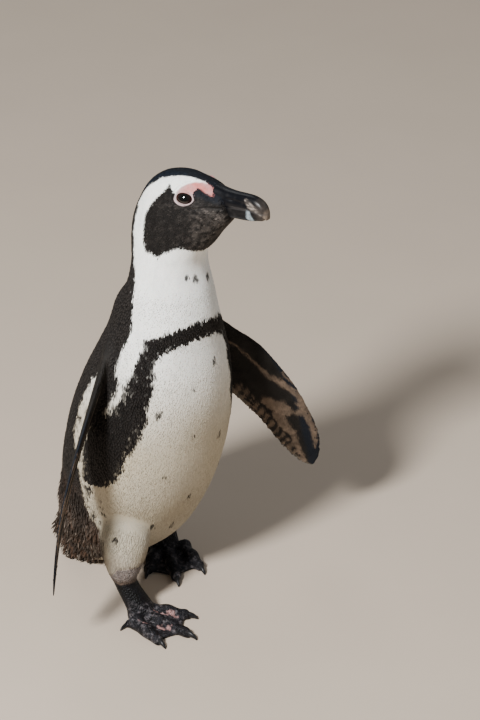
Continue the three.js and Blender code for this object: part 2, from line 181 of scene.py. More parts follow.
def curve(rows, u):
    """Rows of a smooth curve through the stations, at each u from 0 to 1."""
    rows = np.asarray(rows, float)
    u = np.atleast_1d(np.asarray(u, float))
    place = np.clip(u, 0, 1) * (len(rows) - 1)
    i = np.minimum(place.astype(int), len(rows) - 2)
    t = (place - i)[:, None]
    a, b, c, d = (rows[np.clip(i + k, 0, len(rows) - 1)] for k in (-1, 0, 1, 2))
    return b + 0.5 * t * (c - a + t * (2 * a - 5 * b + 4 * c - d + t * (3 * (b - c) + d - a)))


def smooth(x, low, high):
    t = np.clip((x - low) / (high - low), 0, 1)
    return t * t * (3 - 2 * t)


def unit(v):
    return v / np.maximum(np.linalg.norm(v, axis=-1, keepdims=True), 1e-9)


def mix(a, b, t):
    return a * (1 - t) + b * t


def blend(a, b, t):
    """Mixes colours by a share for each point."""
    return mix(a, b, np.asarray(t)[:, None])


def lattice(p, seed):
    """A repeatable number from 0 to 1 for each whole-number point."""
    n = p.astype(np.int64)
    h = n[..., 0] * 374761393 + n[..., 1] * 668265263 + n[..., 2] * 2147483647 + seed * 144665
    h = (h ^ (h >> 13)) * 1274126177
    h = (h ^ (h >> 16)) & 0xFFFFFF
    return h / float(0xFFFFFF)


def noise(p, size, seed=0):
    """Smooth noise from -1 to 1 with lumps of the given size."""
    q = np.asarray(p, float) / size
    cell = np.floor(q)
    t = q - cell
    t = t * t * (3 - 2 * t)
    total = 0
    for dx in (0, 1):
        for dy in (0, 1):
            for dz in (0, 1):
                weight = (
                    (t[..., 0] if dx else 1 - t[..., 0])
                    * (t[..., 1] if dy else 1 - t[..., 1])
                    * (t[..., 2] if dz else 1 - t[..., 2])
                )
                total = total + weight * lattice(cell + np.array([dx, dy, dz]), seed)
    return total * 2 - 1


def ragged(p, size, seed):
    return noise(p, size, seed) + 0.5 * noise(p, size * 0.47, seed + 7)


# ---------------------------------------------------------------- the form


def turned(forward, up, left, share):
    """A point given as forward, up and left, turned with the neck by its share of the whole turn."""
    x, y = np.asarray(left, float), -np.asarray(forward, float) - NECK_Y
    angle = HEAD_TURN * share
    c, s = np.cos(angle), np.sin(angle)
    return np.stack([x * c - y * s + NECK_SHIFT * share, x * s + y * c + NECK_Y, up + 0 * x], -1)


def unturned(points):
    """Forward, up and left of points, as if the neck weren't turned."""
    share = smooth(points[:, 2], TURN_STARTS, TURN_ENDS)
    x, y = points[:, 0] - NECK_SHIFT * share, points[:, 1] - NECK_Y
    c, s = np.cos(-HEAD_TURN * share), np.sin(-HEAD_TURN * share)
    return -(x * s + y * c + NECK_Y), points[:, 2], x * c - y * s


def powered(v, power):
    return np.sign(v) * np.abs(v) ** power


def body_points(station, angle, grown=0.0):
    """Points of the body's outside, at station numbers and angles from the belly line."""
    rows = curve(BODY_STATIONS, station / (len(BODY_STATIONS) - 1))
    back_f, back_z, belly_f, belly_z, half, widest, sway = rows.T
    depth = np.hypot(back_f - belly_f, back_z - belly_z)
    share = smooth((back_z + belly_z) / 2, TURN_STARTS, TURN_ENDS)
    along = powered(np.cos(angle), SECTION_POWER)
    reach = np.where(along > 0, widest * depth, (1 - widest) * depth) + grown
    across = widest - along * reach / depth
    crown = mix(SECTION_POWER, CROWN_POWER, smooth(station, CROWN_FROM, CROWN_FULL))
    left = sway + powered(np.sin(angle), np.where(along > 0, SECTION_POWER, crown)) * (half + grown)
    return turned(mix(belly_f, back_f, across), mix(belly_z, back_z, across), left, share)


def grid(rows, columns, point):
    """A closed loft: rows x columns of points from point(row, angle), with closed ends."""
    r, k = np.meshgrid(np.linspace(0, 1, rows), np.arange(columns) / columns * 2 * np.pi, indexing="ij")
    places = point(r.ravel(), k.ravel())
    first, last = places[:columns].mean(0), places[-columns:].mean(0)
    verts = np.vstack([places, first, last])
    i, j = np.meshgrid(np.arange(rows - 1), np.arange(columns), indexing="ij")
    a = (i * columns + j).ravel()
    b = (i * columns + (j + 1) % columns).ravel()
    faces = np.vstack([np.stack([a, b, b + columns], 1), np.stack([a, b + columns, a + columns], 1)])
    k = np.arange(columns)
    ends = [
        np.stack([np.full(columns, len(places)), (k + 1) % columns, k], 1),
        np.stack([np.full(columns, len(places) + 1), k, (k + 1) % columns], 1)
        + np.array([0, 1, 1]) * (rows - 1) * columns,
    ]
    faces = np.vstack([faces, *ends])
    return outward(verts, faces)


def outward(verts, faces):
    a, b, c = verts[faces[:, 0]], verts[faces[:, 1]], verts[faces[:, 2]]
    if (a * np.cross(b, c)).sum() < 0:
        faces = faces[:, ::-1]
    return verts, faces


def coat_depth(station):
    """How far the skin lies inside the outline, along the body."""
    return np.interp(station, [0, 3, 11, 14, 18, 21, 23], [1.8, 1.8, 1.7, 1.3, 0.75, 0.55, 0.3])


def body_form(rows, columns, inside=True):
    top = len(BODY_STATIONS) - 1

    def point(r, k):
        return body_points(r * top, k, -coat_depth(r * top) * inside)

    return grid(rows, columns, point)


def tail_form(rows, columns, inside):
    def point(r, k):
        forward, up, half, thick, sway = curve(TAIL_STATIONS, r * 0.93).T
        left = sway + np.cos(k) * (half - inside)
        return np.stack([left, -forward - np.sin(k) * (thick - inside), up], 1)

    return grid(rows, columns, point)


def leg_form(foot, rows, columns, inside):
    side, ankle = foot["side"], foot["ankle"]

    def point(r, k):
        share, up, across, deep = curve(LEG_STATIONS, r).T
        x = mix(side * HIP_OUT, ankle[0], share)
        y = mix(mix(-HIP_FORWARD, ankle[1], 0.35), ankle[1], share)
        return np.stack([x + np.cos(k) * (across - inside), y + np.sin(k) * (deep - inside), up], 1)

    return grid(rows, columns, point)


def on_foot(foot, forward, inside, up):
    turn = -math.radians(foot["turn_in"]) * foot["side"]
    x, y = -foot["side"] * inside, -forward
    c, s = math.cos(turn), math.sin(turn)
    hx, hy, hz = foot["heel"]
    return np.stack([x * c - y * s + hx, x * s + y * c + hy, up + hz + 0 * x], -1)


def toe_form(foot, root, tip, pad, rows=40, columns=24):
    way = unit(np.array([tip[0] - root[0], tip[1] - root[1]], float))

    def point(u, k):
        joint = 1 + 0.1 * np.cos(u * 4 * np.pi)
        end = np.where(u > 0.85, np.sqrt(np.maximum(0.12, 1 - ((u - 0.85) / 0.16) ** 2)), 1)
        wide = mix(pad * 1.25, pad * 0.8, u) * joint * end
        tall = mix(pad * 1.15, pad * 0.8, u) * joint * end
        across = np.cos(k) * wide
        f = mix(root[0], tip[0], u) - way[1] * across
        inside = mix(root[1], tip[1], u) + way[0] * across
        return on_foot(foot, f, inside, np.maximum(tall * 0.8 + np.sin(k) * tall, 0.05))

    return grid(rows, columns, point)


def shank_form(foot, rows=24, columns=32):
    lean = np.array(foot["ankle"]) - on_foot(foot, INSTEP, 0, 0)

    def point(r, k):
        share, up, across, deep = curve(SHANK_STATIONS, r).T
        return on_foot(foot, INSTEP + np.sin(k) * deep, np.cos(k) * across, up) + np.outer(share, lean)

    return grid(rows, columns, point)


def web_form(foot):
    """The web: a plate between the toes that thins towards its hollow front edges."""
    (inner, middle, outer) = (np.array(TOES[n][1], float) for n in ("inner", "middle", "outer"))
    sweep = np.linspace(0, 1, 64)
    tips = np.array([inner * [0.9, 1], middle * [0.88, 1], outer * [0.9, 1]])
    hollows = np.array([(inner + middle) * [0.41, 0.5], (outer + middle) * [0.41, 0.5]])
    rim = []
    for s in sweep:
        gap, t = (0, s * 2) if s < 0.5 else (1, s * 2 - 1)
        a, h, b = tips[gap], hollows[gap], tips[gap + 1]
        rim.append((1 - t) ** 2 * a + 2 * t * (1 - t) * h + t * t * b)
    rim = np.array(rim)
    heel = np.stack([np.full(64, WEB_FROM), np.linspace(7, -7, 64)], 1)
    rows = 30
    verts, faces = [], []
    for level in (0, 1):
        for r in range(rows):
            u = r / (rows - 1)
            p = heel * (1 - u) + rim * u
            high = np.full(64, 0.05 if level == 0 else mix(WEB_THICK * 2.1, WEB_THICK * 0.85, u))
            verts.append(on_foot(foot, p[:, 0], p[:, 1], high))
    verts = np.vstack(verts)
    n, w = rows * 64, 64
    for level in (0, 1):
        for r in range(rows - 1):
            for k in range(w - 1):
                a = level * n + r * w + k
                quad = [(a, a + 1, a + w + 1), (a, a + w + 1, a + w)]
                faces += quad if level else [q[::-1] for q in quad]
    border = [r * w for r in range(rows)] + [(rows - 1) * w + k for k in range(1, w)]
    border += [r * w + w - 1 for r in range(rows - 2, -1, -1)] + list(range(w - 2, 0, -1))
    for a, b in zip(border, border[1:] + border[:1]):
        faces += [(a, b, b + n), (a, b + n, a + n)]
    return outward(verts, np.array(faces))


def blade(name):
    """A flipper's own axes: shoulder, way along it, way to its front edge, way out of its face."""
    spec = FLIPPERS[name]
    shoulder, tip = np.array(spec["shoulder"], float), np.array(spec["tip"], float)
    length = np.linalg.norm(tip - shoulder)
    long = (tip - shoulder) / length
    front = np.array(spec["front"])
    front = unit(front - long * (front @ long))
    return shoulder, long, front, np.cross(long, front), length


def flipper_bend(place):
    return FLIPPER_BEND * np.sin(np.pi * np.clip(place, 0, 1) ** FLIPPER_BEND_SKEW)


def flipper_form(name, rows, columns, inside):
    shoulder, long, ahead, flat, length = blade(name)

    def point(r, k):
        place, lead, trail, share = curve(FLIPPER_STATIONS, r).T
        centre = shoulder + np.outer(place * length, long)
        centre += np.outer(flipper_bend(place), flat)
        c = np.cos(k)
        reach = np.where(c > 0, c * (lead - inside), c * (trail - inside))
        bulge = np.where(c > 0, 1, 0.8 - 0.2 * c * c)
        thick = np.sin(k) * np.maximum(bulge * share * FLIPPER_THICK / 2 - inside, 0.6)
        return centre + np.outer(reach, ahead) + np.outer(thick, flat)

    return grid(rows, columns, point)


def source_parts(fine):
    """The flesh as separate closed forms: (label, verts, triangles), set in by the coat's depth."""
    n = 1 if fine else 0.5
    count = lambda v: int(v * n)
    parts = [(BODY, *body_form(count(220), count(112)))]
    parts.append((TAIL, *tail_form(count(40), count(56), 1.6)))
    for name, foot in FEET.items():
        label = FOOT_L if name == "left" else FOOT_R
        flipper = FLIPPER_L if name == "left" else FLIPPER_R
        parts.append((LEG, *leg_form(foot, count(48), count(48), 1.4)))
        parts.append((flipper, *flipper_form(name, count(120), count(56), 0.7)))
        parts.append((label, *shank_form(foot)))
        parts.append((label, *web_form(foot)))
        for root, tip in TOES.values():
            parts.append((label, *toe_form(foot, root, tip, TOE_PAD)))
        flip = foot["small_toe"]
        root, tip = ((f, i * flip) for f, i in HALLUX)
        parts.append((label, *toe_form(foot, root, tip, HALLUX_PAD, 20, 16)))
    return parts


# ---------------------------------------------------------------- meshes


def new_object(name, verts, faces, smooth_shade=True):
    """A mesh object from points in millimetres of the bird's own frame."""
    mesh = bpy.data.meshes.new(name)
    places = (np.asarray(verts) + ORIGIN_SHIFT) * MM
    mesh.from_pydata(places.tolist(), [], [list(map(int, f)) for f in faces])
    mesh.validate()
    if smooth_shade:
        mesh.shade_smooth()
    made = bpy.data.objects.new(name, mesh)
    bpy.context.scene.collection.objects.link(made)
    return made


def places_of(mesh):
    flat = np.empty(len(mesh.vertices) * 3)
    mesh.vertices.foreach_get("co", flat)
    return flat.reshape(-1, 3) / MM - ORIGIN_SHIFT


def put_places(mesh, places):
    mesh.vertices.foreach_set("co", ((places + ORIGIN_SHIFT) * MM).ravel())
    mesh.update()


def normals_of(mesh):
    flat = np.empty(len(mesh.vertices) * 3)
    mesh.vertex_normals.foreach_get("vector", flat)
    return flat.reshape(-1, 3)


def triangles_of(mesh):
    mesh.calc_loop_triangles()
    flat = np.empty(len(mesh.loop_triangles) * 3, np.int32)
    mesh.loop_triangles.foreach_get("vertices", flat)
    return flat.reshape(-1, 3)


def write(mesh, name, kind, values):
    """Stores one value for each vertex."""
    layer = mesh.attributes.get(name) or mesh.attributes.new(name, kind, "POINT")
    field = {"FLOAT": "value", "FLOAT_VECTOR": "vector", "FLOAT_COLOR": "color", "FLOAT2": "vector"}
    if kind == "FLOAT_COLOR" and values.shape[1] == 3:
        values = np.hstack([values, np.ones((len(values), 1))])
    layer.data.foreach_set(field[kind], np.ascontiguousarray(values, dtype=np.float32).ravel())


def read(mesh, name, width):
    flat = np.empty(len(mesh.vertices) * width, np.float32)
    field = {1: "value", 3: "vector", 4: "color"}[width]
    mesh.attributes[name].data.foreach_get(field, flat)
    return flat.reshape(-1, width) if width > 1 else flat


class Neighbours:
    """Averages over the edges of a mesh."""

    def __init__(self, mesh):
        pairs = np.empty(len(mesh.edges) * 2, np.int32)
        mesh.edges.foreach_get("vertices", pairs)
        self.a, self.b = pairs.reshape(-1, 2).T
        self.count = len(mesh.vertices)
        self.ties = np.bincount(self.a, minlength=self.count) + np.bincount(self.b, minlength=self.count)

    def mean(self, values):
        out = np.empty_like(values)
        for k in range(values.shape[1]):
            v = values[:, k]
            total = np.bincount(self.a, v[self.b], self.count) + np.bincount(self.b, v[self.a], self.count)
            out[:, k] = total / np.maximum(self.ties, 1)
        return out


# ---------------------------------------------------------------- markings

BLACK = np.array([0.0070, 0.0062, 0.0058])
# Blue-black standing in for sheen: painted reflection of the sky, used on the crown, the top of the head and the
# flippers' front edges.
PAINTED_SHEEN = np.array([0.0052, 0.0078, 0.0128])
WHITE = np.array([0.90, 0.90, 0.86])
CREAM = np.array([0.52, 0.44, 0.30])
BROWN = np.array([0.030, 0.022, 0.017])
RUST = np.array([0.105, 0.058, 0.037])
CHEEK = np.array([0.043, 0.037, 0.033])
PINK = np.array([0.50, 0.165, 0.145])
PALE_RING = np.array([0.43, 0.335, 0.335])
TAN = np.array([0.20, 0.145, 0.105])
CUFF = np.array([0.082, 0.070, 0.063])
FOOT = np.array([0.0062, 0.0060, 0.0070])
FOOT_PINK = np.array([0.23, 0.13, 0.12])

# Edges of the markings round the trunk: [height, degrees from the belly line].
BACK_EDGE = [
    (0, 30), (40, 32), (47, 34), (67, 47), (85, 69), (111, 82), (145, 92), (169, 104), (200, 109), (235, 107),
    (246, 95), (252, 82), (268, 82), (299, 79), (322, 90), (346, 105), (371, 124), (395, 147), (420, 158),
]
BAND_OUTER = [(85, 66), (111, 78), (150, 87), (180, 90), (204, 88), (212, 78), (219, 69), (250, 66), (277, 62),
              (289, 63), (297, 41), (302, 18), (303.5, 0)]
BAND_INNER = [(131, 67), (143, 58), (150, 55), (171, 52), (191, 47), (214, 43), (256, 43), (266, 45.5),
              (277, 42), (285, 27), (287.5, 8), (288, 0)]
# Painted shadow of the flipper: black in the hollow behind the white patch on the shoulder, with its front edge.
FLIPPER_SHADOW_FRONT = [(200, 80), (209, 78), (217, 77), (231, 75), (247, 73), (254, 80), (262, 84)]
FLIPPER_SHADOW_REAR = 89
# Dark spots on the white: [height, degrees to the right, radius].
SPOTS = [
    (220, 35, 3.2), (258, -19, 2.6), (175, -25, 2.7), (114, -4, 2.4), (85, 19, 2.6), (78, 0, 2.2),
    (345, 15, 2.5), (342, -3, 3.0), (339, -8, 2.0), (337, -35, 3.2), (200, -48, 2.6), (150, 22, 1.6),
    (240, 8, 1.4), (128, -40, 2.2), (190, 4, 1.2),
]
LEG_SPOT = (-62.4, -32.2, 79.9)
# Outlines on the side of the head: [forward, up].
MASK = [
    (55.5, 425.5), (51.5, 427), (46.5, 429.6), (43.3, 422.5), (37, 416.5), (32, 408.2), (28, 399), (27.3, 389),
    (30.5, 375.2), (36.2, 367.6), (47.4, 365.8), (54.9, 372), (64, 376.5), (73, 373.7), (82, 362), (125, 362),
    (125, 433), (92, 434), (88.8, 428.7), (86, 429), (82, 430.3), (77.8, 432), (75.2, 432.4), (73.6, 431),
    (74, 427), (71, 420), (61, 419), (56.5, 423),
]
PATCH = [
    (56, 426), (57.2, 428.5), (59, 431.2), (63, 433.9), (68, 435.7), (74, 436.3), (79.5, 435.8), (84, 434.2),
    (88, 431.8), (89.4, 429), (88.6, 428), (86, 429.1), (82, 430.3), (77.8, 432), (75.2, 432.4), (73.4, 431),
    (73, 428), (66, 424),
]
CROWN_HALF = [(0, 15.5), (12, 13), (17, 12.2), (30, 10.4), (37, 10.5), (48, 9.6), (56, 7.2), (63, 5.5), (71, 4.9),
              (77, 4.2), (81, 4.6), (88, 8), (100, 12)]


def inside_by(outline, x, y):
    """Signed distance to a closed outline, positive inside it."""
    outline = np.array(outline, float)
    best = np.full(x.shape, 1e9)
    inside = np.zeros(x.shape, bool)
    for (ax, ay), (bx, by) in zip(outline, np.roll(outline, -1, 0)):
        dx, dy = bx - ax, by - ay
        t = np.clip(((x - ax) * dx + (y - ay) * dy) / (dx * dx + dy * dy), 0, 1)
        best = np.minimum(best, np.hypot(x - ax - t * dx, y - ay - t * dy))
        crosses = ((ay > y) != (by > y)) & (x < (bx - ax) * (y - ay) / (by - ay + 1e-12) + ax)
        inside ^= crosses
    return np.where(inside, best, -best)


def stroke(x, y, points, widths):
    """How far inside a brush stroke of changing width a place lies."""
    best = np.full(x.shape, -1e9)
    for (a, b, wa, wb) in zip(points, points[1:], widths, widths[1:]):
        d = np.subtract(b, a)
        t = np.clip(((x - a[0]) * d[0] + (y - a[1]) * d[1]) / (d @ d), 0, 1)
        reach = np.hypot(x - a[0] - t * d[0], y - a[1] - t * d[1])
        best = np.maximum(best, wa + (wb - wa) * t - reach)
    return best


def trunk_angle(points):
    """Height, and degrees round from the belly line, positive on the bird's right."""
    forward, up, left = unturned(points)
    rows = np.array(BODY_STATIONS, float)
    heights = (rows[:, 1] + rows[:, 3]) / 2
    centre = np.interp(up, heights, (rows[:, 0] + rows[:, 2]) / 2)
    sway = np.interp(up, heights, rows[:, 6])
    return forward, up, left, np.degrees(np.arctan2(-(left - sway), forward - centre)), centre


def paint_body(p, soft):
    """Colour of body plumage, and how much paler its feather tips are."""
    forward, up, left, phi, centre = trunk_angle(p)
    side = np.abs(phi)
    radius = np.hypot(left, forward - centre)
    per_mm = np.degrees(1 / np.maximum(radius, 20))
    wave = ragged(p, 9, 3) * 2.6 + ragged(p, 4.2, 5) * 1.5

    def over(colour, amount, new):
        return blend(colour, new, np.clip(amount, 0, 1))

    def edge(distance):
        return smooth(distance, -soft, soft)

    warm = 0.5 + 0.5 * noise(p, 34, 11)
    hairy = 0.035 * noise(p, 7, 12) - 0.09 * np.clip(ragged(p * np.array([1, 1, 0.4]), 2.4, 13) + 0.2, 0, 1.2)
    colour = WHITE * (1 - 0.05 * warm[:, None]) * (1 + hairy[:, None])
    colour = over(colour, smooth(up, 296, 170) * (0.72 + 0.2 * warm), CREAM)
    # Darker towards the bottom, below about 250 mm: painted shade where the belly turns away from the light.
    colour = colour * (1 - 0.14 * smooth(up, 250, 170) - 0.16 * smooth(up, 160, 90))[:, None]
    tips = np.full(len(p), 0.08)

    # The breast band and flanks.
    outer = np.interp(up + wave * 0.5, *np.array(BAND_OUTER, float).T, left=0, right=-30)
    inner = np.interp(up - wave * 0.5, *np.array(BAND_INNER, float).T, left=75, right=-30)
    band = np.minimum(outer - side, side - inner) / per_mm + wave
    band = np.minimum(band, (303.5 - up) * 2 + wave)
    band = np.where(up < 131, -1e3, band)
    dark = edge(band)
    # Below the band it breaks up into flecks, and ends as a thin line.
    fade = (up < 150) & (up > 70)
    flecks = noise(p, 4.6, 21) * 5 + noise(p, 2.6, 22) * 2 - 1.6 - smooth(up, 125, 80) * 2.0
    strip = np.minimum(outer - side, side - (outer - 13)) / per_mm
    dark = np.maximum(dark, np.where(fade, edge(np.minimum(strip + 2, flecks)), 0))
    line = 1.0 - np.abs((side - np.interp(up, [40, 54, 59, 71, 82, 100], [26, 31, 38, 47, 62, 72])) / per_mm)
    line = np.where((up > 45) & (up < 92), line + ragged(p, 6, 31) * 1.2, -9)
    dark = np.maximum(dark, edge(line) * 0.9)
    # Specks of white in the flank, and of black in the stripe behind it.
    specks = edge(noise(p, 2.8, 41) * 3 - 1.7) * smooth(band, 9, 0) * 0.5
    black = BLACK * (1 + 0.5 * noise(p, 5, 42)[:, None])
    colour = over(colour, dark * (1 - specks), black)
    tips = mix(tips, 0.75, dark)
    stripe = (side > outer) & (up < 250) & (up > 80)
    dots = edge(noise(p, 5.2, 43) * 4 - 2.1) * stripe * smooth(up, 80, 110)
    colour = over(colour, dots, BLACK * 2)

    # The back, the painted shadow of the flipper in the hollow behind the shoulder, and the nape line up to the
    # crown.
    back_edge = np.interp(up, *np.array(BACK_EDGE, float).T)
    back = (side - back_edge) / per_mm + wave * 0.8
    # The hollow under the flipper's root is painted black: painted shadow of the flipper.
    hollow = np.minimum(side - np.interp(up, *np.array(FLIPPER_SHADOW_FRONT, float).T), FLIPPER_SHADOW_REAR - side) / per_mm
    back = np.maximum(back, np.minimum(hollow + wave * 0.4, np.minimum(up - 200, 268 - up)))
    nape = np.interp(up, [398, 420, 436], [17.5, 12.6, 11])
    back = np.where(up > 400, nape - np.abs(left) + wave * 0.15 - np.maximum(forward - 30, 0), back)
    amount = edge(back) * smooth(up, 436, 428)
    brown = smooth(up, 135, 60) * (0.2 + 0.8 * smooth(side, 150, 118))
    rump = blend(BLACK * 1.4, BROWN, brown)
    rump = rump * (1 + 0.55 * noise(p, 5, 51) * (0.4 + 0.6 * brown))[:, None]
    rust = edge(noise(p * np.array([1, 1, 0.45]), 4.6, 52) * 3 - 1.1) * brown
    rump = over(rump, rust * 0.6, RUST)
    pale = edge(noise(p * np.array([1, 1, 0.7]), 3.2, 53) * 3 - 1.7) * brown * smooth(up, 100, 40)
    rump = over(rump, pale * 0.75, np.array([0.27, 0.23, 0.195]))
    colour = over(colour, amount, rump)
    tips = mix(tips, 0.9, amount)

    # The head.
    crown_half = np.interp(forward, *np.array(CROWN_HALF, float).T)
    reach = np.where(left > 0, left - 3.5 * smooth(forward, 5, 30) - 2.5 * smooth(forward, 55, 72), -left)
    crown = np.minimum(crown_half - reach, (up - 410) * 0.7) + wave * 0.15
    crown = np.where(up < 405, -9, crown)
    # The crown is blue-black towards its back: painted reflection of the sky.
    colour = over(colour, edge(crown * 1.6), blend(PAINTED_SHEEN * (1 + 0.3 * noise(p, 4, 60)[:, None]), BLACK, smooth(forward, 48, 72) * 0.7))
    tips = mix(tips, 0.15, edge(crown * 1.6))
    face = inside_by(MASK, forward, up) + wave * 0.22 * smooth(forward, 60, 40) + ragged(p, 3, 61) * 0.5
    face = face + 1.2 * smooth(forward, 70, 74) * smooth(up, 434.5, 432.5)
    face = np.where((up > 426) & (np.abs(left) < 3.6), 9, face)
    face = np.where(up < 355, -9, face)
    brownish = smooth(forward + (425 - up) * 0.15, 62, 98) * smooth(up, 424, 414)
    mottle = np.clip(0.5 + 0.9 * noise(p, 3.4, 62) + 0.6 * noise(p, 1.7, 63), 0, 1)
    streak = np.clip(0.5 + 1.3 * noise(p * np.array([0.6, 0.6, 1.3]), 1.5, 64), 0, 1)
    cheek = blend(BLACK * 0.8, CHEEK, np.clip(-0.05 + 0.45 * mottle * streak + brownish * 0.95 * mottle, 0, 1))
    cheek = blend(cheek, CHEEK * 1.7, brownish * streak * smooth(mottle, 0.2, 0.9) * 0.55)
    # The top of the head turns blue: painted reflection of the sky.
    cheek = blend(cheek, PAINTED_SHEEN * 0.85, smooth(up + 0.12 * forward, 434, 438) * 0.7)
    colour = over(colour, edge(face * 1.6), cheek)
    tips = mix(tips, 0.55, edge(face * 1.6) * smooth(up, 430, 420))

    # Spots on the breast and flecks on the neck.
    for height, degrees, size in SPOTS:
        away = np.hypot(up - height, (phi - degrees) / per_mm * 1.25)
        spot = edge(size - away + ragged(p, 3, int(height)) * 0.7)
        colour = over(colour, np.where(side < 75, spot, 0) * 0.93, BLACK * 2)
    return np.clip(colour, 0.002, 1), tips


LEFT_PATCH_DROP = 4.4


def bare_face(p):
    """Where the bare skin of the face is: the pink patch, the ring of the eye and the gape."""
    forward, up, left = unturned(p)
    patch = inside_by(PATCH, forward, up + np.where(left > 0, LEFT_PATCH_DROP, 0)) + ragged(p, 2.5, 71) * 0.12
    patch = np.where((up > 417) & ((left < -3.6) | (left > 9)), patch, -9)
    ring = 1 - np.hypot((forward - 65.4) / 9.9, (up - 424.2 - 0.1 * (forward - 65.4)) / 6.5)
    ring = np.where(np.abs(left) > 10, ring * 6.5, -9)
    gape = stroke(forward, up, [(79, 418.6), (88, 421.2), (98, 421.0)], [0.5, 0.9, 1.6])
    gape = np.where(np.abs(left) > 4, gape, -9)
    return patch, ring, gape


def paint_flipper(p, name):
    """Colour of a flipper's small feathers: dark outside, blotched inside."""
    shoulder, long, ahead, flat, length = blade(name)
    d = p - shoulder
    u, v, w = d @ long, d @ ahead, d @ flat
    w = w - flipper_bend(u / length)
    outside = flat[0] * (1 if name == "left" else -1) > 0
    inner = (w < 0) if outside else (w > 0)
    seed = 0 if name == "left" else 40
    warp = noise(p, 9, 81 + seed) * 2.2 + noise(p, 4, 82 + seed) * 1.5
    x, y = u + warp, v + noise(p, 7, 83 + seed) * 1.8
    tan = stroke(x, y, [(34, 8), (60, 15), (88, 19.5), (103, 25), (118, 30), (139, 31.5)],
                 [0.9, 1.3, 1.5, 2.8, 2.6, 3.4])
    tan = np.maximum(tan, stroke(x, y, [(139, 31), (160, 27), (178, 24), (200, 12.5)], [4.4, 3.6, 3.2, 1.6]))
    tan = np.maximum(tan, stroke(x, y, [(120, 5), (131, 11), (143, 16), (150, 24)], [5.6, 6.0, 4.4, 4.2]))
    tan = np.maximum(tan, stroke(x, y, [(140, 5), (155, 4), (172, 5), (190, 1), (212, -4)],
                                 [5.6, 4.4, 3.0, 2.2, 2.4]))
    tan = np.maximum(tan, stroke(x, y, [(95, 33), (112, 35)], [0.9, 1.1]))
    holes = stroke(x, y, [(120, 19), (131, 22), (141, 22)], [3.2, 4.6, 3.2])
    holes = np.maximum(holes, stroke(x, y, [(150, 15), (170, 15), (192, 9.5), (211, 4)], [4.6, 6.4, 6.0, 3.6]))
    tan = np.minimum(tan, -holes)
    bars = np.sin((u + v * 0.55 + warp * 1.1) * 2 * np.pi / 9.5) - 0.1 + noise(p, 5, 84 + seed) * 0.7
    rear = np.interp(u, [60, 95, 130, 170, 215], [-20, -4.5, -3, -2, -3])
    bars = np.where(u > 88, np.minimum(bars * 2.2, (rear - v) * 0.6 + 0.4), -9)
    tan = np.maximum(tan, bars)
    amount = smooth(tan, -0.7, 0.9) * inner * smooth(u, 30, 42)
    streak = 0.75 + 0.3 * noise(p, 2.2, 85 + seed)
    base = blend(BLACK, np.array([0.020, 0.0175, 0.015]), 0.35 + 0.35 * noise(p, 6, 86))
    trailing = curve(FLIPPER_STATIONS, np.clip((u / length + 0.14) / 1.14, 0, 1))[:, 2]
    leading = curve(FLIPPER_STATIONS, np.clip((u / length + 0.14) / 1.14, 0, 1))[:, 1]
    # A blue band along the flipper's front edge: painted reflection of the sky.
    base = blend(base, PAINTED_SHEEN * 1.2, smooth(v - leading, -7, -3) * smooth(u, 30, 60) * 0.9)
    colour = blend(base, TAN * streak[:, None], np.clip(amount * (0.85 + 0.3 * noise(p, 3, 87)), 0, 1))
    rim = smooth(-v - trailing, -1.9, -0.5) * smooth(u, 50, 90)
    colour = blend(colour, np.array([0.22, 0.185, 0.145]), np.clip(rim * 0.5, 0, 1))
    return np.clip(colour, 0.002, 1), mix(0.8, 0.2, smooth(u, 15, 60))


def hem_of(p):
    """Height where a leg's feathers end: lower on its outer side."""
    side = np.where(p[:, 0] > 0, 1, -1)
    ankle = np.where(p[:, 0:1] > 0, FEET["left"]["ankle"], FEET["right"]["ankle"])
    outer = ((p[:, 0] - ankle[:, 0]) * side * 0.79 + (p[:, 1] - ankle[:, 1]) * 0.62) / 16
    return 53.5 - 12 * smooth(outer, 0.25, 0.9) + noise(p, 7, 90) * 1.2


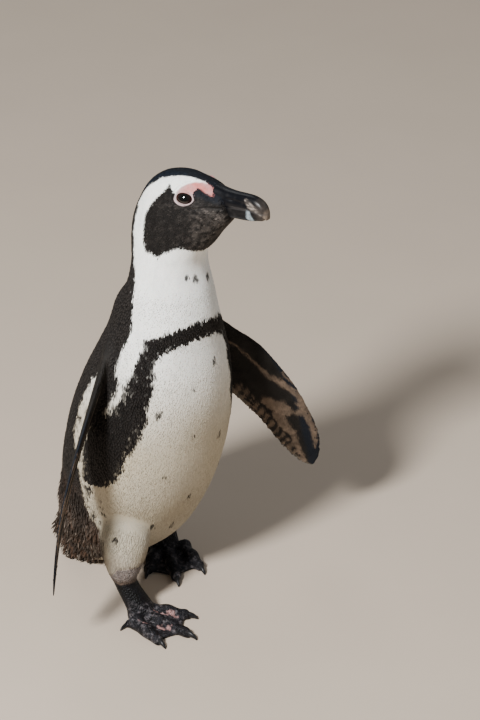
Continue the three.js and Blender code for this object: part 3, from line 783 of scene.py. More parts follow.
def paint_leg(p):
    """White dimmed by painted shade down to the hem, then a grey cuff, dark behind."""
    height = p[:, 2]
    colour, tips = paint_body(p, 1.2)
    ankle = np.where(p[:, 0:1] > 0, FEET["left"]["ankle"], FEET["right"]["ankle"])
    # The leg's cream-white is dimmed to two thirds: painted shade of the flipper. Lower down it turns grey-brown
    # towards the hem.
    white = blend(WHITE * 0.8, CREAM, 0.75 + 0.15 * noise(p, 12, 91)) * 0.66
    white = blend(white, np.array([0.26, 0.215, 0.165]), 0.5 * smooth(height, 75, 52))
    share = np.interp(height, [39, 47, 62, 79, 96, 112], [1, 0.85, 0.6, 0.36, 0.18, 0])
    rear = p[:, 1] - mix(mix(-HIP_FORWARD, ankle[:, 1], 0.35), ankle[:, 1], share)
    colour = blend(colour, white, np.maximum(smooth(rear, 9, 3) * smooth(height, 104, 90), smooth(height, 74, 56)))
    spot = np.linalg.norm(p - np.array(LEG_SPOT), axis=1)
    colour = blend(colour, BLACK * 2.4, smooth(spot + ragged(p, 2.5, 95) * 0.8, 3.6, 2.2) * 0.95)
    behind = smooth(p[:, 1] - ankle[:, 1], 7, 13)
    dark = smooth(noise(p, 4, 92) + behind * 1.6 - 1.0, -0.2, 0.3) * behind
    colour = blend(colour, BROWN * 1.5, dark * smooth(height, 80, 70) * 0.8)
    over_hem = height - hem_of(p)
    cuff = CUFF * (1 + 0.25 * noise(p, 3, 119)[:, None] + 0.2 * noise(p * np.array([0.5, 0.5, 2]), 2, 120)[:, None])
    cuff = blend(cuff, BROWN * 1.3, smooth(height + 1.5 * noise(p, 4, 93), 42.5, 39) * 0.9)
    colour = blend(colour, BROWN * 2.2, smooth(1.5 - np.abs(over_hem), -0.7, 1.0) * (0.45 + 0.3 * noise(p, 3, 94)))
    colour = blend(colour, cuff, smooth(over_hem, -0.2, -1.2))
    return np.clip(colour, 0.002, 1), tips * 0 + 0.1


def paint_tail(p):
    colour = BROWN * (1 + 0.6 * noise(p, 4, 101)[:, None])
    rust = smooth(noise(p * np.array([1, 1, 0.3]), 4, 102), 0.1, 0.5)
    colour = blend(colour, RUST * 0.9, rust * 0.6)
    return np.clip(colour, 0.002, 1), np.full(len(p), 0.8)


def paint_foot(p):
    height = p[:, 2]
    colour = FOOT * (1 + 0.7 * noise(p, 4, 111)[:, None] + 0.5 * noise(p, 1.6, 112)[:, None])
    # Darker up the shank, from 11 to 20 mm high: painted shade.
    colour = colour * (1 - 0.6 * smooth(height, 11, 20))[:, None]
    streak = np.zeros(len(p))
    for foot in (FEET["right"],):
        hx, hy, _ = foot["heel"]
        turn = math.radians(foot["turn_in"]) * foot["side"]
        dx, dy = p[:, 0] - hx, p[:, 1] - hy
        c, s = math.cos(turn), math.sin(turn)
        inside, forward = -(dx * c - dy * s) * foot["side"], -(dx * s + dy * c)
        near = np.hypot(dx, dy) < 95
        for points, widths in (
            ([(27, -18.6), (34, -18), (40.5, -15)], [1.0, 1.5, 1.2]),
            ([(42, -11), (47, -10)], [1.2, 1.3]),
            ([(50, -7), (53.5, -6.5)], [1.7, 1.4]),
            ([(28, 3.2), (34, 5), (39, 9.5)], [0.9, 1.3, 1.0]),
            ([(40, 12), (45, 13.5)], [1.5, 1.3]),
        ):
            mark = stroke(forward + noise(p, 5, 113) * 1.5, inside + noise(p, 4, 114) * 1.0, points, widths)
            streak = np.maximum(streak, smooth(mark + noise(p, 1.8, 115) * 1.5, -0.4, 1.0) * near)
    streak = streak * smooth(height, 1.2, 3)
    colour = blend(colour, FOOT_PINK * (1 + 0.4 * noise(p, 2.5, 110)[:, None]), np.clip(streak, 0, 1) * 0.72)
    # Pale grey patches on the toes: partly the skin's grey folds, partly painted highlight on the scales.
    grey = smooth(noise(p, 2.6, 116) + 0.8 * noise(p, 1.2, 117), 0.15, 0.9)
    colour = blend(colour, np.array([0.070, 0.064, 0.067]), grey * 0.65 * smooth(height, 24, 14))
    ring = smooth(height + 1.6 * noise(p, 4, 118), 35.0, 37.5)
    colour = blend(colour, BROWN * 1.6 * (1 + 0.3 * noise(p, 3, 119)[:, None]), ring)
    return np.clip(colour, 0.002, 1)


# ---------------------------------------------------------------- the skin


def join(parts):
    verts, faces, labels, base = [], [], [], 0
    for label, v, f in parts:
        verts.append(v)
        faces.append(f + base)
        labels.append(np.full(len(v), label))
        base += len(v)
    return np.vstack(verts), np.vstack(faces), np.concatenate(labels)


def nearest_labels(points, verts, faces, labels):
    """Label of the source form that is nearest to each point."""
    tree = BVHTree.FromPolygons(verts.tolist(), faces.tolist())
    out = np.zeros(len(points), int)
    for i, p in enumerate(points.tolist()):
        out[i] = labels[faces[tree.find_nearest(p)[2]][0]]
    return out


def flow_at(points, normals, labels):
    """Which way the feathers lie, along the surface."""
    forward, up, left, _, _ = trunk_angle(points)
    lie = np.zeros_like(points)
    head = smooth(up, 350, 400)
    front = smooth(forward, 20, 60) * head
    f = -head * (0.35 + 0.65 * front)
    z = -1 + 0.62 * front
    z = np.where(up > 428, -0.35 - 0.3 * smooth(forward, 50, 20), z)
    turn = HEAD_TURN * smooth(up, TURN_STARTS, TURN_ENDS)
    lie[:, 0] = f * np.sin(turn) - left * 0.004 * head
    lie[:, 1] = -f * np.cos(turn)
    lie[:, 2] = z
    rear = smooth(up, 120, 20) * (labels == BODY)
    lie[:, 1] += 0.35 * rear
    lie[labels == TAIL] = (0, 0.35, -1)
    lie[labels == LEG] = (0, 0, -1)
    for label, name in ((FLIPPER_L, "left"), (FLIPPER_R, "right")):
        _, long, ahead, _, _ = blade(name)
        lie[labels == label] = long - 0.22 * ahead
    lie -= normals * (lie * normals).sum(1, keepdims=True)
    return unit(lie)


def eye_frame(side):
    """Centre of an eye, and the ways along, up and out of its opening."""
    centre = turned(EYE_PLACE[0], EYE_PLACE[1], side * EYE_PLACE[2], 1.0)
    out = turned(EYE_PLACE[0] + 0.33, EYE_PLACE[1] + 0.46, side * (EYE_PLACE[2] + 0.82), 1.0) - centre
    out = unit(out)
    along = turned(EYE_PLACE[0] + 1, EYE_PLACE[1] + 0.12, side * EYE_PLACE[2], 1.0) - centre
    along = unit(along - out * (along @ out))
    return centre, along, unit(np.cross(out, along) * (1 if side < 0 else -1)), out


EYE_HALF = (7.0, 4.35)  # half length and half height of the opening between the lids


def shape_face(points, normals):
    """Lids round the eyes, the sunk patch, the crease of the gape, and the hollow of the lores."""
    forward, up, left = unturned(points)
    head = up > 385
    patch, ring, gape = bare_face(points)
    lift = np.zeros(len(points))
    lift -= 0.45 * smooth(patch, -0.8, 1.0) * head
    crease = stroke(forward, up, [(75, 416.8), (88, 420.2), (99, 421.0)], [0.0, 0.4, 0.6])
    lift -= 0.9 * smooth(crease, -1.8, 0.4) * head * (np.abs(left) > 4)
    lift += 0.5 * smooth(5 - np.hypot(forward - 86, (up - 414) * 1.2), -4, 4) * head
    lores = np.hypot((forward - 83) / 9, (up - 425) / 6)
    lift -= 0.9 * smooth(1 - lores, -0.6, 0.8) * head * (np.abs(left) > 4)
    points = points + normals * lift[:, None]
    for side in (1, -1):
        centre, along, upward, out = eye_frame(side)
        d = points - centre
        x, y, h = d @ along, d @ upward, d @ out
        near = (np.hypot(x, y) < 16) & (h > 0)
        slant = 1 + 0.10 * x / EYE_HALF[0]
        rho = np.hypot(x / EYE_HALF[0], y / (EYE_HALF[1] * np.clip(slant, 0.7, 1.2)))
        globe = np.sqrt(np.maximum(EYE_RADIUS**2 - x * x - y * y, 0))
        lid = np.maximum(globe + 0.42, h)
        swell = 0.55 * np.exp(-(((rho - 1.16) / 0.13) ** 2)) + 0.30 * np.exp(-(((rho - 1.55) / 0.16) ** 2))
        swell -= 0.25 * np.exp(-(((rho - 1.38) / 0.08) ** 2))
        outer = mix(lid, h, smooth(rho, 1.35, 2.1)) + swell
        target = np.where(rho < 1, np.minimum(h, globe) - 2.4 * smooth(rho, 1.02, 0.86), outer)
        points = points + np.outer(np.where(near, target - h, 0), out)
    return points


def refine(mesh, centre, radius, cuts):
    """Cuts the faces near a place finer."""
    work = bmesh.new()
    work.from_mesh(mesh)
    middle = Vector((centre + ORIGIN_SHIFT) * MM)
    close = {v for v in work.verts if (v.co - middle).length < radius * MM}
    edges = [e for e in work.edges if e.verts[0] in close and e.verts[1] in close]
    bmesh.ops.subdivide_edges(work, edges=edges, cuts=cuts, use_grid_fill=True)
    bmesh.ops.triangulate(work, faces=[f for f in work.faces if len(f.verts) > 4])
    work.to_mesh(mesh)
    work.free()
    mesh.update()


SKIN_TRIANGLES = 156000  # before the faces round the eyes are cut finer


def shown(points, marks):
    """Where the skin shows: the feet, the hems, the bare face and the flippers' rims."""
    forward, up, left = unturned(points)
    face = (up > 408) & (forward > 48) & (marks == BODY)
    low = np.isin(marks, (FOOT_L, FOOT_R)) | ((marks == LEG) & (points[:, 2] < 58))
    return face | low | on_rim(points, marks)


def thin_out(skin, spared):
    """Brings the skin's triangles down, nearly all of them under the coat."""
    group = skin.vertex_groups.new(name="covered")
    group.add(np.flatnonzero(~spared).tolist(), 1.0, "REPLACE")
    count = sum(len(f.vertices) - 2 for f in skin.data.polygons)
    thin = skin.modifiers.new("Thin", "DECIMATE")
    thin.ratio = min(1, SKIN_TRIANGLES / count)
    thin.vertex_group = group.name
    thin.use_collapse_triangulate = True
    baked = bpy.data.meshes.new_from_object(skin.evaluated_get(bpy.context.evaluated_depsgraph_get()))
    skin.modifiers.clear()
    skin.vertex_groups.clear()
    skin.data = baked


def build_skin(voxel):
    parts = source_parts(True)
    verts, faces, labels = join(parts)
    skin = new_object("skin", verts, faces)
    remesh = skin.modifiers.new("Remesh", "REMESH")
    remesh.mode = "VOXEL"
    remesh.voxel_size = voxel * MM
    baked = bpy.data.meshes.new_from_object(skin.evaluated_get(bpy.context.evaluated_depsgraph_get()))
    skin.modifiers.clear()
    skin.data = baked
    mesh = skin.data
    points = places_of(mesh)
    marks = nearest_labels(points, verts, faces, labels)

    # Rounds the joins between the forms, most at the shoulders, thighs and rump.
    ties = Neighbours(mesh)
    spread = (marks[:, None] == np.arange(7)).astype(float)
    for _ in range(30):
        spread = ties.mean(spread)
    seam = np.clip((1 - spread.max(1)) * 3.2, 0, 1)
    foot_zone = np.isin(marks, (FOOT_L, FOOT_R))
    soft = np.where(foot_zone, 0.03, 0.04 + 0.9 * seam)
    for _ in range(110):
        points = points + (ties.mean(points) - points) * soft[:, None]
    points[:, 2] = np.maximum(points[:, 2], 0.05)
    put_places(mesh, points)
    thin_out(skin, shown(points, marks))
    mesh = skin.data

    for side in (1, -1):
        refine(mesh, eye_frame(side)[0], 17, 2)
    points = places_of(mesh)
    marks = nearest_labels(points, verts, faces, labels)
    normals = normals_of(mesh)
    points = shape_face(points, normals)
    put_places(mesh, points)
    mesh.shade_smooth()
    paint_skin(mesh, marks)
    skin.data.update()
    return skin


def paint_skin(mesh, marks):
    points, normals = places_of(mesh), normals_of(mesh)
    colour, tips = paint_body(points, 0.8)
    for label, painter in (
        (FLIPPER_L, lambda q: paint_flipper(q, "left")),
        (FLIPPER_R, lambda q: paint_flipper(q, "right")),
        (LEG, paint_leg),
        (TAIL, paint_tail),
    ):
        here = marks == label
        colour[here], tips[here] = painter(points[here])
    bare = np.zeros(len(points))
    feet = np.isin(marks, (FOOT_L, FOOT_R))
    colour[feet] = paint_foot(points[feet])
    bare[feet] = 1
    low_leg = (marks == LEG) & (points[:, 2] < 37.5)
    colour[low_leg] = paint_foot(points[low_leg])
    bare[(marks == LEG) & (points[:, 2] < hem_of(points))] = 1
    patch, ring, gape = bare_face(points)
    body = marks == BODY
    pink = PINK * (1 + 0.16 * noise(points, 2.2, 121)[:, None])
    pale = smooth(noise(points, 5, 122), 0.0, 0.9) * 0.35 + 0.6 * smooth(unturned(points)[0], 70, 58)
    pink = blend(pink, PALE_RING, np.clip(pale, 0, 1))
    amount = smooth(patch, -0.6, 0.9) * body
    colour = blend(colour, pink, amount)
    ring_colour = blend(PALE_RING, PINK, smooth(unturned(points)[1], 426, 431) * 0.75)
    ring_on = smooth(ring, 0.0, 0.6) * body
    colour = blend(colour, ring_colour, ring_on)
    for side in (1, -1):
        centre, along, upward, _ = eye_frame(side)
        d = points - centre
        rho = np.hypot(d @ along / EYE_HALF[0], d @ upward / EYE_HALF[1])
        margin = smooth(rho, 1.16, 1.04) * body * (np.linalg.norm(d, axis=1) < 14)
        colour = blend(colour, np.array([0.034, 0.012, 0.010]), margin)
    gape_on = smooth(gape, -0.4, 0.4) * body
    colour = blend(colour, BLACK * 1.1, gape_on)
    bare = np.maximum(bare, 0.5 * np.maximum.reduce([amount, ring_on, gape_on]))
    write(mesh, "coat", "FLOAT_COLOR", colour)
    write(mesh, "bare", "FLOAT", bare)
    write(mesh, "part", "FLOAT", marks.astype(float))

    lie = flow_at(points, normals, marks)
    ties = Neighbours(mesh)
    for _ in range(25):
        lie = 0.4 * lie + 0.6 * ties.mean(lie)
        lie = unit(lie - normals * (lie * normals).sum(1, keepdims=True))
    write(mesh, "lie", "FLOAT_VECTOR", lie)


# ---------------------------------------------------------------- the coat


def vane_mesh():
    """One closed feather, root at 0 and tip at 1 along X, with a raised shaft and a cupped web."""
    outline = [(0, 0), (0.15, 0.28), (0.38, 0.48), (0.64, 0.46), (0.86, 0.24), (1.0, 0.0)]
    edge = outline + [(x, -y) for x, y in outline[-2:0:-1]]
    inner = [(0.32, 0.0), (0.72, 0.0)]
    droop = lambda x, y: -0.34 * y * y - 0.10 * x * x
    top = [(x, y, droop(x, y)) for x, y in edge]
    verts = top + [(x, 0, droop(x, 0) + 0.065) for x, _ in inner] + [(x, 0, droop(x, 0) - 0.03) for x, _ in inner]
    a, b = len(edge), len(edge) + 1
    split = 3
    faces = []
    count = len(edge)
    for shift, flip in ((0, False), (2, True)):
        for k in range(count):
            n = (k + 1) % count
            mid = (edge[k][0] + edge[n][0]) / 2
            hub = (a if mid < 0.55 else b) + shift
            tri = (k, n, hub)
            faces.append(tri[::-1] if not flip else tri)
        for k in range(count):
            n, before = (k + 1) % count, (k - 1) % count
            low = (edge[before][0] + edge[k][0]) / 2 < 0.55
            high = (edge[k][0] + edge[n][0]) / 2 < 0.55
            if low != high:
                tri = (k, b + shift, a + shift) if low else (k, a + shift, b + shift)
                faces.append(tri[::-1] if not flip else tri)
    mesh = bpy.data.meshes.new("vane")
    mesh.from_pydata(verts, [], faces)
    work = bmesh.new()
    work.from_mesh(mesh)
    bmesh.ops.recalc_face_normals(work, faces=work.faces)
    work.to_mesh(mesh)
    work.free()
    mesh.shade_smooth()
    places = np.array(verts)
    write(mesh, "along", "FLOAT", places[:, 0])
    write(mesh, "cross", "FLOAT", places[:, 1])
    vane = bpy.data.objects.new("vane", mesh)
    return vane


def spread_points(mesh, keep, spacing, seed):
    """Even random points on the faces that keep() accepts, no nearer than their spacing."""
    rng = np.random.default_rng(seed)
    points, normals = places_of(mesh), normals_of(mesh)
    lie = read(mesh, "lie", 3)
    part = read(mesh, "part", 1)
    tris = triangles_of(mesh)
    middles = points[tris].mean(1)
    labels = np.median(part[tris], axis=1).astype(int)
    gap = spacing(middles, labels)
    use = keep(middles, labels) & (gap > 0)
    tris, labels, gap = tris[use], labels[use], gap[use]
    a, b, c = (points[tris[:, k]] for k in range(3))
    area = np.linalg.norm(np.cross(b - a, c - a), axis=1) / 2
    weight = area / gap**2
    total = int(weight.sum() * 3.2)
    pick = rng.choice(len(tris), total, p=weight / weight.sum())
    r, s = np.sqrt(rng.random(total)), rng.random(total)
    bary = np.stack([1 - r, r * (1 - s), r * s], 1)
    places = (points[tris[pick]] * bary[:, :, None]).sum(1)
    tree = KDTree(total)
    for i, p in enumerate(places.tolist()):
        tree.insert(p, i)
    tree.balance()
    free = np.ones(total, bool)
    kept = []
    gaps = gap[pick]
    for i in range(total):
        if free[i]:
            kept.append(i)
            for _, j, _ in tree.find_range(places[i], gaps[i]):
                free[j] = False
    kept = np.array(kept)
    out_normal = unit((normals[tris[pick[kept]]] * bary[kept][:, :, None]).sum(1))
    out_lie = unit((lie[tris[pick[kept]]] * bary[kept][:, :, None]).sum(1))
    return places[kept], out_normal, out_lie, labels[pick[kept]]


def unwrap(points, labels):
    """Place of each root on a flat map of the skin: round the form across, along it up."""
    forward, up, left, phi, _ = trunk_angle(points)
    u = phi / 360 + 0.5
    run = up + smooth(up, 375, 400) * (forward - 20) * 0.9
    v = run / 540
    head = up > 400
    u = np.where(head, 0.5 + np.sign(left + 1e-6) * np.arctan2(np.abs(left), up - 395) / (2 * np.pi), u)
    for label, name in ((FLIPPER_L, "left"), (FLIPPER_R, "right")):
        here = labels == label
        if here.any():
            shoulder, long, ahead, flat, length = blade(name)
            d = points[here] - shoulder
            w = d @ flat - flipper_bend(d @ long / length)
            u[here] = 0.5 + np.sign(w) * (0.06 + 0.4 * (36 - d @ ahead) / 64)
            v[here] = 0.04 + 0.9 * (d @ long) / length
    for label in (LEG, TAIL):
        here = labels == label
        if here.any():
            q = points[here]
            c = np.where(q[:, 0:1] > 0, (40, 14), (-42, -25)) if label == LEG else np.array([[-9, 90]])
            u[here] = np.arctan2(q[:, 1] - c[:, 1], q[:, 0] - c[:, 0]) / (2 * np.pi) + 0.5
            u[here] = (u[here] + (0 if label == TAIL else 0)) * 0.48 + np.where(q[:, 0] > 0, 0.5, 0.0)
            v[here] = 0.02 + q[:, 2] / 120
    return np.stack([np.clip(u, 0.003, 0.997), np.clip(v, 0.003, 0.997)], 1)


def coat_tree():
    """Nodes that stand one feather on each root and lay it along the skin."""
    tree = bpy.data.node_groups.new("feather_coat", "GeometryNodeTree")
    tree.is_modifier = True
    face = tree.interface
    face.new_socket("Geometry", in_out="INPUT", socket_type="NodeSocketGeometry")
    face.new_socket("Vane", in_out="INPUT", socket_type="NodeSocketObject")
    for name, default in (
        ("Length", 0.006), ("Width", 0.0036), ("Thickness", 0.004), ("Lift", 0.16), ("Scatter", 0.12),
    ):
        face.new_socket(name, in_out="INPUT", socket_type="NodeSocketFloat").default_value = default
    face.new_socket("Seed", in_out="INPUT", socket_type="NodeSocketInt")
    face.new_socket("Material", in_out="INPUT", socket_type="NodeSocketMaterial")
    face.new_socket("Geometry", in_out="OUTPUT", socket_type="NodeSocketGeometry")
    nodes, links = tree.nodes, tree.links
    entry, leave = nodes.new("NodeGroupInput"), nodes.new("NodeGroupOutput")

    def named(name, kind):
        node = nodes.new("GeometryNodeInputNamedAttribute")
        node.data_type = kind
        node.inputs["Name"].default_value = name
        return node.outputs["Attribute"]

    def chance(low, high, offset):
        node = nodes.new("FunctionNodeRandomValue")
        node.data_type = "FLOAT"
        for socket in node.inputs:
            if socket.type == "VALUE" and socket.name == "Min":
                socket.default_value = low
            if socket.type == "VALUE" and socket.name == "Max":
                socket.default_value = high
        add = nodes.new("ShaderNodeMath")
        add.operation = "ADD"
        links.new(entry.outputs["Seed"], add.inputs[0])
        add.inputs[1].default_value = offset
        links.new(add.outputs[0], node.inputs["Seed"])
        return next(s for s in node.outputs if s.enabled and s.type == "VALUE")

    def maths(operation, a, b):
        node = nodes.new("ShaderNodeMath")
        node.operation = operation
        for socket, value in zip(node.inputs, (a, b)):
            if isinstance(value, (int, float)):
                socket.default_value = value
            else:
                links.new(value, socket)
        return node.outputs[0]

    size, slim = named("size", "FLOAT"), named("slim", "FLOAT")
    vary = maths("ADD", 1.0, maths("MULTIPLY", chance(-1, 1, 1), entry.outputs["Scatter"]))
    thin = maths("ADD", 1.0, maths("MULTIPLY", chance(-1, 1, 2), entry.outputs["Scatter"]))
    scale = nodes.new("ShaderNodeCombineXYZ")
    links.new(maths("MULTIPLY", maths("MULTIPLY", entry.outputs["Length"], size), vary), scale.inputs[0])
    broad = maths("MULTIPLY", maths("MULTIPLY", entry.outputs["Width"], size), slim)
    links.new(maths("MULTIPLY", broad, thin), scale.inputs[1])
    links.new(maths("MULTIPLY", entry.outputs["Thickness"], size), scale.inputs[2])

    axes = nodes.new("FunctionNodeAxesToRotation")
    axes.primary_axis, axes.secondary_axis = "Z", "X"
    links.new(named("up", "FLOAT_VECTOR"), axes.inputs[0])
    links.new(named("lie", "FLOAT_VECTOR"), axes.inputs[1])
    tilt = nodes.new("FunctionNodeEulerToRotation")
    euler = nodes.new("ShaderNodeCombineXYZ")
    links.new(maths("MULTIPLY", chance(-1.6, 1.6, 3), entry.outputs["Scatter"]), euler.inputs[0])
    uneven = maths("ADD", 1.0, maths("MULTIPLY", chance(-3, 3, 4), entry.outputs["Scatter"]))
    raise_by = maths("MULTIPLY", maths("MULTIPLY", entry.outputs["Lift"], named("rise", "FLOAT")), uneven)
    links.new(maths("MULTIPLY", raise_by, -1.0), euler.inputs[1])
    links.new(maths("MULTIPLY", chance(-2.2, 2.2, 5), entry.outputs["Scatter"]), euler.inputs[2])
    links.new(euler.outputs[0], tilt.inputs[0])
    spin = nodes.new("FunctionNodeRotateRotation")
    spin.rotation_space = "LOCAL"
    links.new(axes.outputs[0], spin.inputs[0])
    links.new(tilt.outputs[0], spin.inputs[1])

    vane = nodes.new("GeometryNodeObjectInfo")
    links.new(entry.outputs["Vane"], vane.inputs["Object"])
    stand = nodes.new("GeometryNodeInstanceOnPoints")
    links.new(entry.outputs["Geometry"], stand.inputs["Points"])
    links.new(vane.outputs["Geometry"], stand.inputs["Instance"])
    links.new(spin.outputs[0], stand.inputs["Rotation"])
    links.new(scale.outputs[0], stand.inputs["Scale"])
    real = nodes.new("GeometryNodeRealizeInstances")
    links.new(stand.outputs[0], real.inputs[0])

    spot = nodes.new("ShaderNodeCombineXYZ")
    links.new(maths("MULTIPLY", maths("SUBTRACT", named("along", "FLOAT"), 0.5), 0.003), spot.inputs[0])
    links.new(maths("MULTIPLY", named("cross", "FLOAT"), 0.003), spot.inputs[1])
    place = nodes.new("ShaderNodeVectorMath")
    place.operation = "ADD"
    links.new(named("root", "FLOAT_VECTOR"), place.inputs[0])
    links.new(spot.outputs[0], place.inputs[1])
    keep = nodes.new("GeometryNodeStoreNamedAttribute")
    keep.data_type, keep.domain = "FLOAT2", "CORNER"
    keep.inputs["Name"].default_value = "OFBake"
    links.new(real.outputs[0], keep.inputs["Geometry"])
    links.new(place.outputs[0], keep.inputs["Value"])
    paint = nodes.new("GeometryNodeSetMaterial")
    links.new(keep.outputs[0], paint.inputs["Geometry"])
    links.new(entry.outputs["Material"], paint.inputs["Material"])
    links.new(paint.outputs[0], leave.inputs[0])
    return tree


FLOOR_EASE = 3.0  # millimetres over which feather tips bend away from the floor


def grow(name, roots, sizes, tree, vane, material):
    """Turns roots into one plain mesh of feathers."""
    places, up, lie, labels, colour, tips, size, rise, slim = roots
    points = bpy.data.meshes.new(name)
    points.from_pydata(((places + ORIGIN_SHIFT) * MM).tolist(), [], [])
    write(points, "up", "FLOAT_VECTOR", up)
    write(points, "lie", "FLOAT_VECTOR", lie)
    write(points, "size", "FLOAT", size)
    write(points, "rise", "FLOAT", rise)
    write(points, "slim", "FLOAT", slim)
    write(points, "coat", "FLOAT_COLOR", colour)
    write(points, "tip", "FLOAT", tips)
    flat = unwrap(places, labels)
    write(points, "root", "FLOAT_VECTOR", np.hstack([flat, np.zeros((len(flat), 1))]))
    made = bpy.data.objects.new(name, points)
    bpy.context.scene.collection.objects.link(made)
    nodes = made.modifiers.new("coat", "NODES")
    nodes.node_group = tree
    by_name = {s.name: s.identifier for s in tree.interface.items_tree if s.in_out == "INPUT"}
    nodes[by_name["Vane"]] = vane
    nodes[by_name["Material"]] = material
    for key, value in sizes.items():
        nodes[by_name[key]] = value
    solid = bpy.data.meshes.new_from_object(made.evaluated_get(bpy.context.evaluated_depsgraph_get()))
    made.modifiers.clear()
    made.data = solid
    solid.name = name
    solid.shade_smooth()
    flat = places_of(solid)
    low = flat[:, 2] < FLOOR_EASE
    flat[low, 2] = FLOOR_EASE * np.exp((flat[low, 2] - FLOOR_EASE) / FLOOR_EASE)
    put_places(solid, flat)
    for extra in ("lie", "size", "rise", "slim", "root", "cross"):
        if extra in solid.attributes:
            solid.attributes.remove(solid.attributes[extra])
    for layer in solid.uv_layers:
        if layer.name != "OFBake":
            solid.uv_layers.remove(layer)
    print(name, len(places), "feathers", sum(len(p.vertices) - 2 for p in solid.polygons), "triangles")
    return made


FEATHER_GAP = 0.93  # share of the gaps below: less makes a finer, closer coat


def feather_spacing(middles, labels):
    """Gap between feathers: small on the face, flippers and ankles, wide on the rump."""
    forward, up, left, phi, _ = trunk_angle(middles)
    side = np.abs(phi)
    gap = np.interp(up, [0, 60, 230, 300, 350, 385, 410], [2.1, 2.0, 1.85, 1.65, 1.45, 1.2, 1.05])
    back = np.interp(up, *np.array(BACK_EDGE, float).T)
    dark = smooth(side, back - 8, back + 4) * smooth(up, 390, 340)
    gap = mix(gap, mix(2.2, 2.4, smooth(up, 120, 80)), dark)
    gap = np.where((up > 385) & (forward > 70), 0.95, gap)
    gap = np.where(np.isin(labels, (FLIPPER_L, FLIPPER_R)), 1.35, gap)
    gap = np.where(labels == LEG, np.interp(middles[:, 2], [50, 60, 80], [1.3, 1.6, 2.0]), gap)
    gap = np.where(labels == TAIL, 2.4, gap)
    return np.where(np.isin(labels, (FOOT_L, FOOT_R)), 0, gap * FEATHER_GAP)


def fineness(points, labels):
    """How fine the feathers are, from 0 to 1: finest along the edges of dark plumage, fine on pale plumage."""
    level = (paint_body(points, 6.0)[0].mean(1) - 0.01) / 0.62
    near = smooth(level, 0.03, 0.16) * smooth(level, 0.93, 0.80)
    near = near * smooth(points[:, 2], 60, 90) * smooth(points[:, 2], 385, 375)
    pale = mix(0.45, 0.58, smooth(points[:, 2], 140, 170)) * smooth(level, 0.4, 0.7)
    pale = pale * smooth(points[:, 2], 400, 385)
    return np.where(labels == BODY, np.maximum(near, pale), 0.8 * (labels == LEG))


def on_rim(points, labels):
    """Where a flipper's thin edges and tip are."""
    rim = np.zeros(len(points), bool)
    rows = np.array(FLIPPER_STATIONS)
    for label, name in ((FLIPPER_L, "left"), (FLIPPER_R, "right")):
        shoulder, long, ahead, _, length = blade(name)
        u, v = (points - shoulder) @ long / length, (points - shoulder) @ ahead
        edge = np.minimum(np.interp(u, rows[:, 0], rows[:, 1]) - v, np.interp(u, rows[:, 0], rows[:, 2]) + v)
        rim |= (labels == label) & (u > 0.2) & ((edge < 2.4) | (u > 0.93))
    return rim


def feathered(middles, labels):
    """Where feathers grow: not on the feet, the bare face or inside the gape."""
    patch, ring, gape = bare_face(middles)
    face = (labels == BODY) & ((patch > 0.1) | (ring > -0.1) | (gape > 0.3))
    forward, up, left = unturned(middles)
    under_bill = (labels == BODY) & (up > 405) & (forward > 101.5)
    ankle = (labels == LEG) & (middles[:, 2] < hem_of(middles) + 2.5)
    sole = middles[:, 2] < 2.0
    bald = face | ankle | sole | under_bill | on_rim(middles, labels)
    return ~bald & ~np.isin(labels, (FOOT_L, FOOT_R))


def painted(places, lie, size, labels, rng):
    """Colour of each feather, as it is under its middle, with its neighbour's now and then at an edge."""
    blades = np.isin(labels, (FLIPPER_L, FLIPPER_R))
    nudged = places + lie * (3.2 * size)[:, None]
    nudged = nudged + rng.normal(0, 1, places.shape) * np.where(blades, 0.4, np.where(places[:, 2] > 385, 0.55, 1.0))[:, None]
    patch, ring, _ = bare_face(nudged)
    nudged = np.where(((patch > -0.8) | (ring > -0.9))[:, None], places, nudged)
    colour, tips = paint_body(nudged, 1.4)
    for label, painter in (
        (FLIPPER_L, lambda q: paint_flipper(q, "left")),
        (FLIPPER_R, lambda q: paint_flipper(q, "right")),
        (LEG, paint_leg),
        (TAIL, paint_tail),
    ):
        here = labels == label
        if here.any():
            colour[here], tips[here] = painter(nudged[here])
    face = (labels == BODY) & (places[:, 2] > 385) & (colour.mean(1) < 0.2)
    colour = colour * np.exp(rng.normal(0, 1, len(places)) * np.where(face, 0.32, 0.07))[:, None]
    return np.clip(colour, 0.002, 1), tips


# ---------------------------------------------------------------- materials


def material(name):
    made = bpy.data.materials.new(name)
    made.use_nodes = True
    nodes = made.node_tree.nodes
    nodes.clear()
    shader = nodes.new("ShaderNodeBsdfPrincipled")
    out = nodes.new("ShaderNodeOutputMaterial")
    made.node_tree.links.new(shader.outputs[0], out.inputs[0])
    return made, nodes, made.node_tree.links, shader


def add_node(nodes, kind, inputs=None, **settings):
    node = nodes.new(kind)
    for key, value in settings.items():
        setattr(node, key, value)
    for key, value in (inputs or {}).items():
        node.inputs[key].default_value = value
    return node


def ramp(nodes, stops):
    node = nodes.new("ShaderNodeValToRGB")
    while len(node.color_ramp.elements) < len(stops):
        node.color_ramp.elements.new(0.5)
    for element, (place, colour) in zip(node.color_ramp.elements, stops):
        element.position = place
        element.color = (*colour, 1) if len(colour) == 3 else colour
    return node


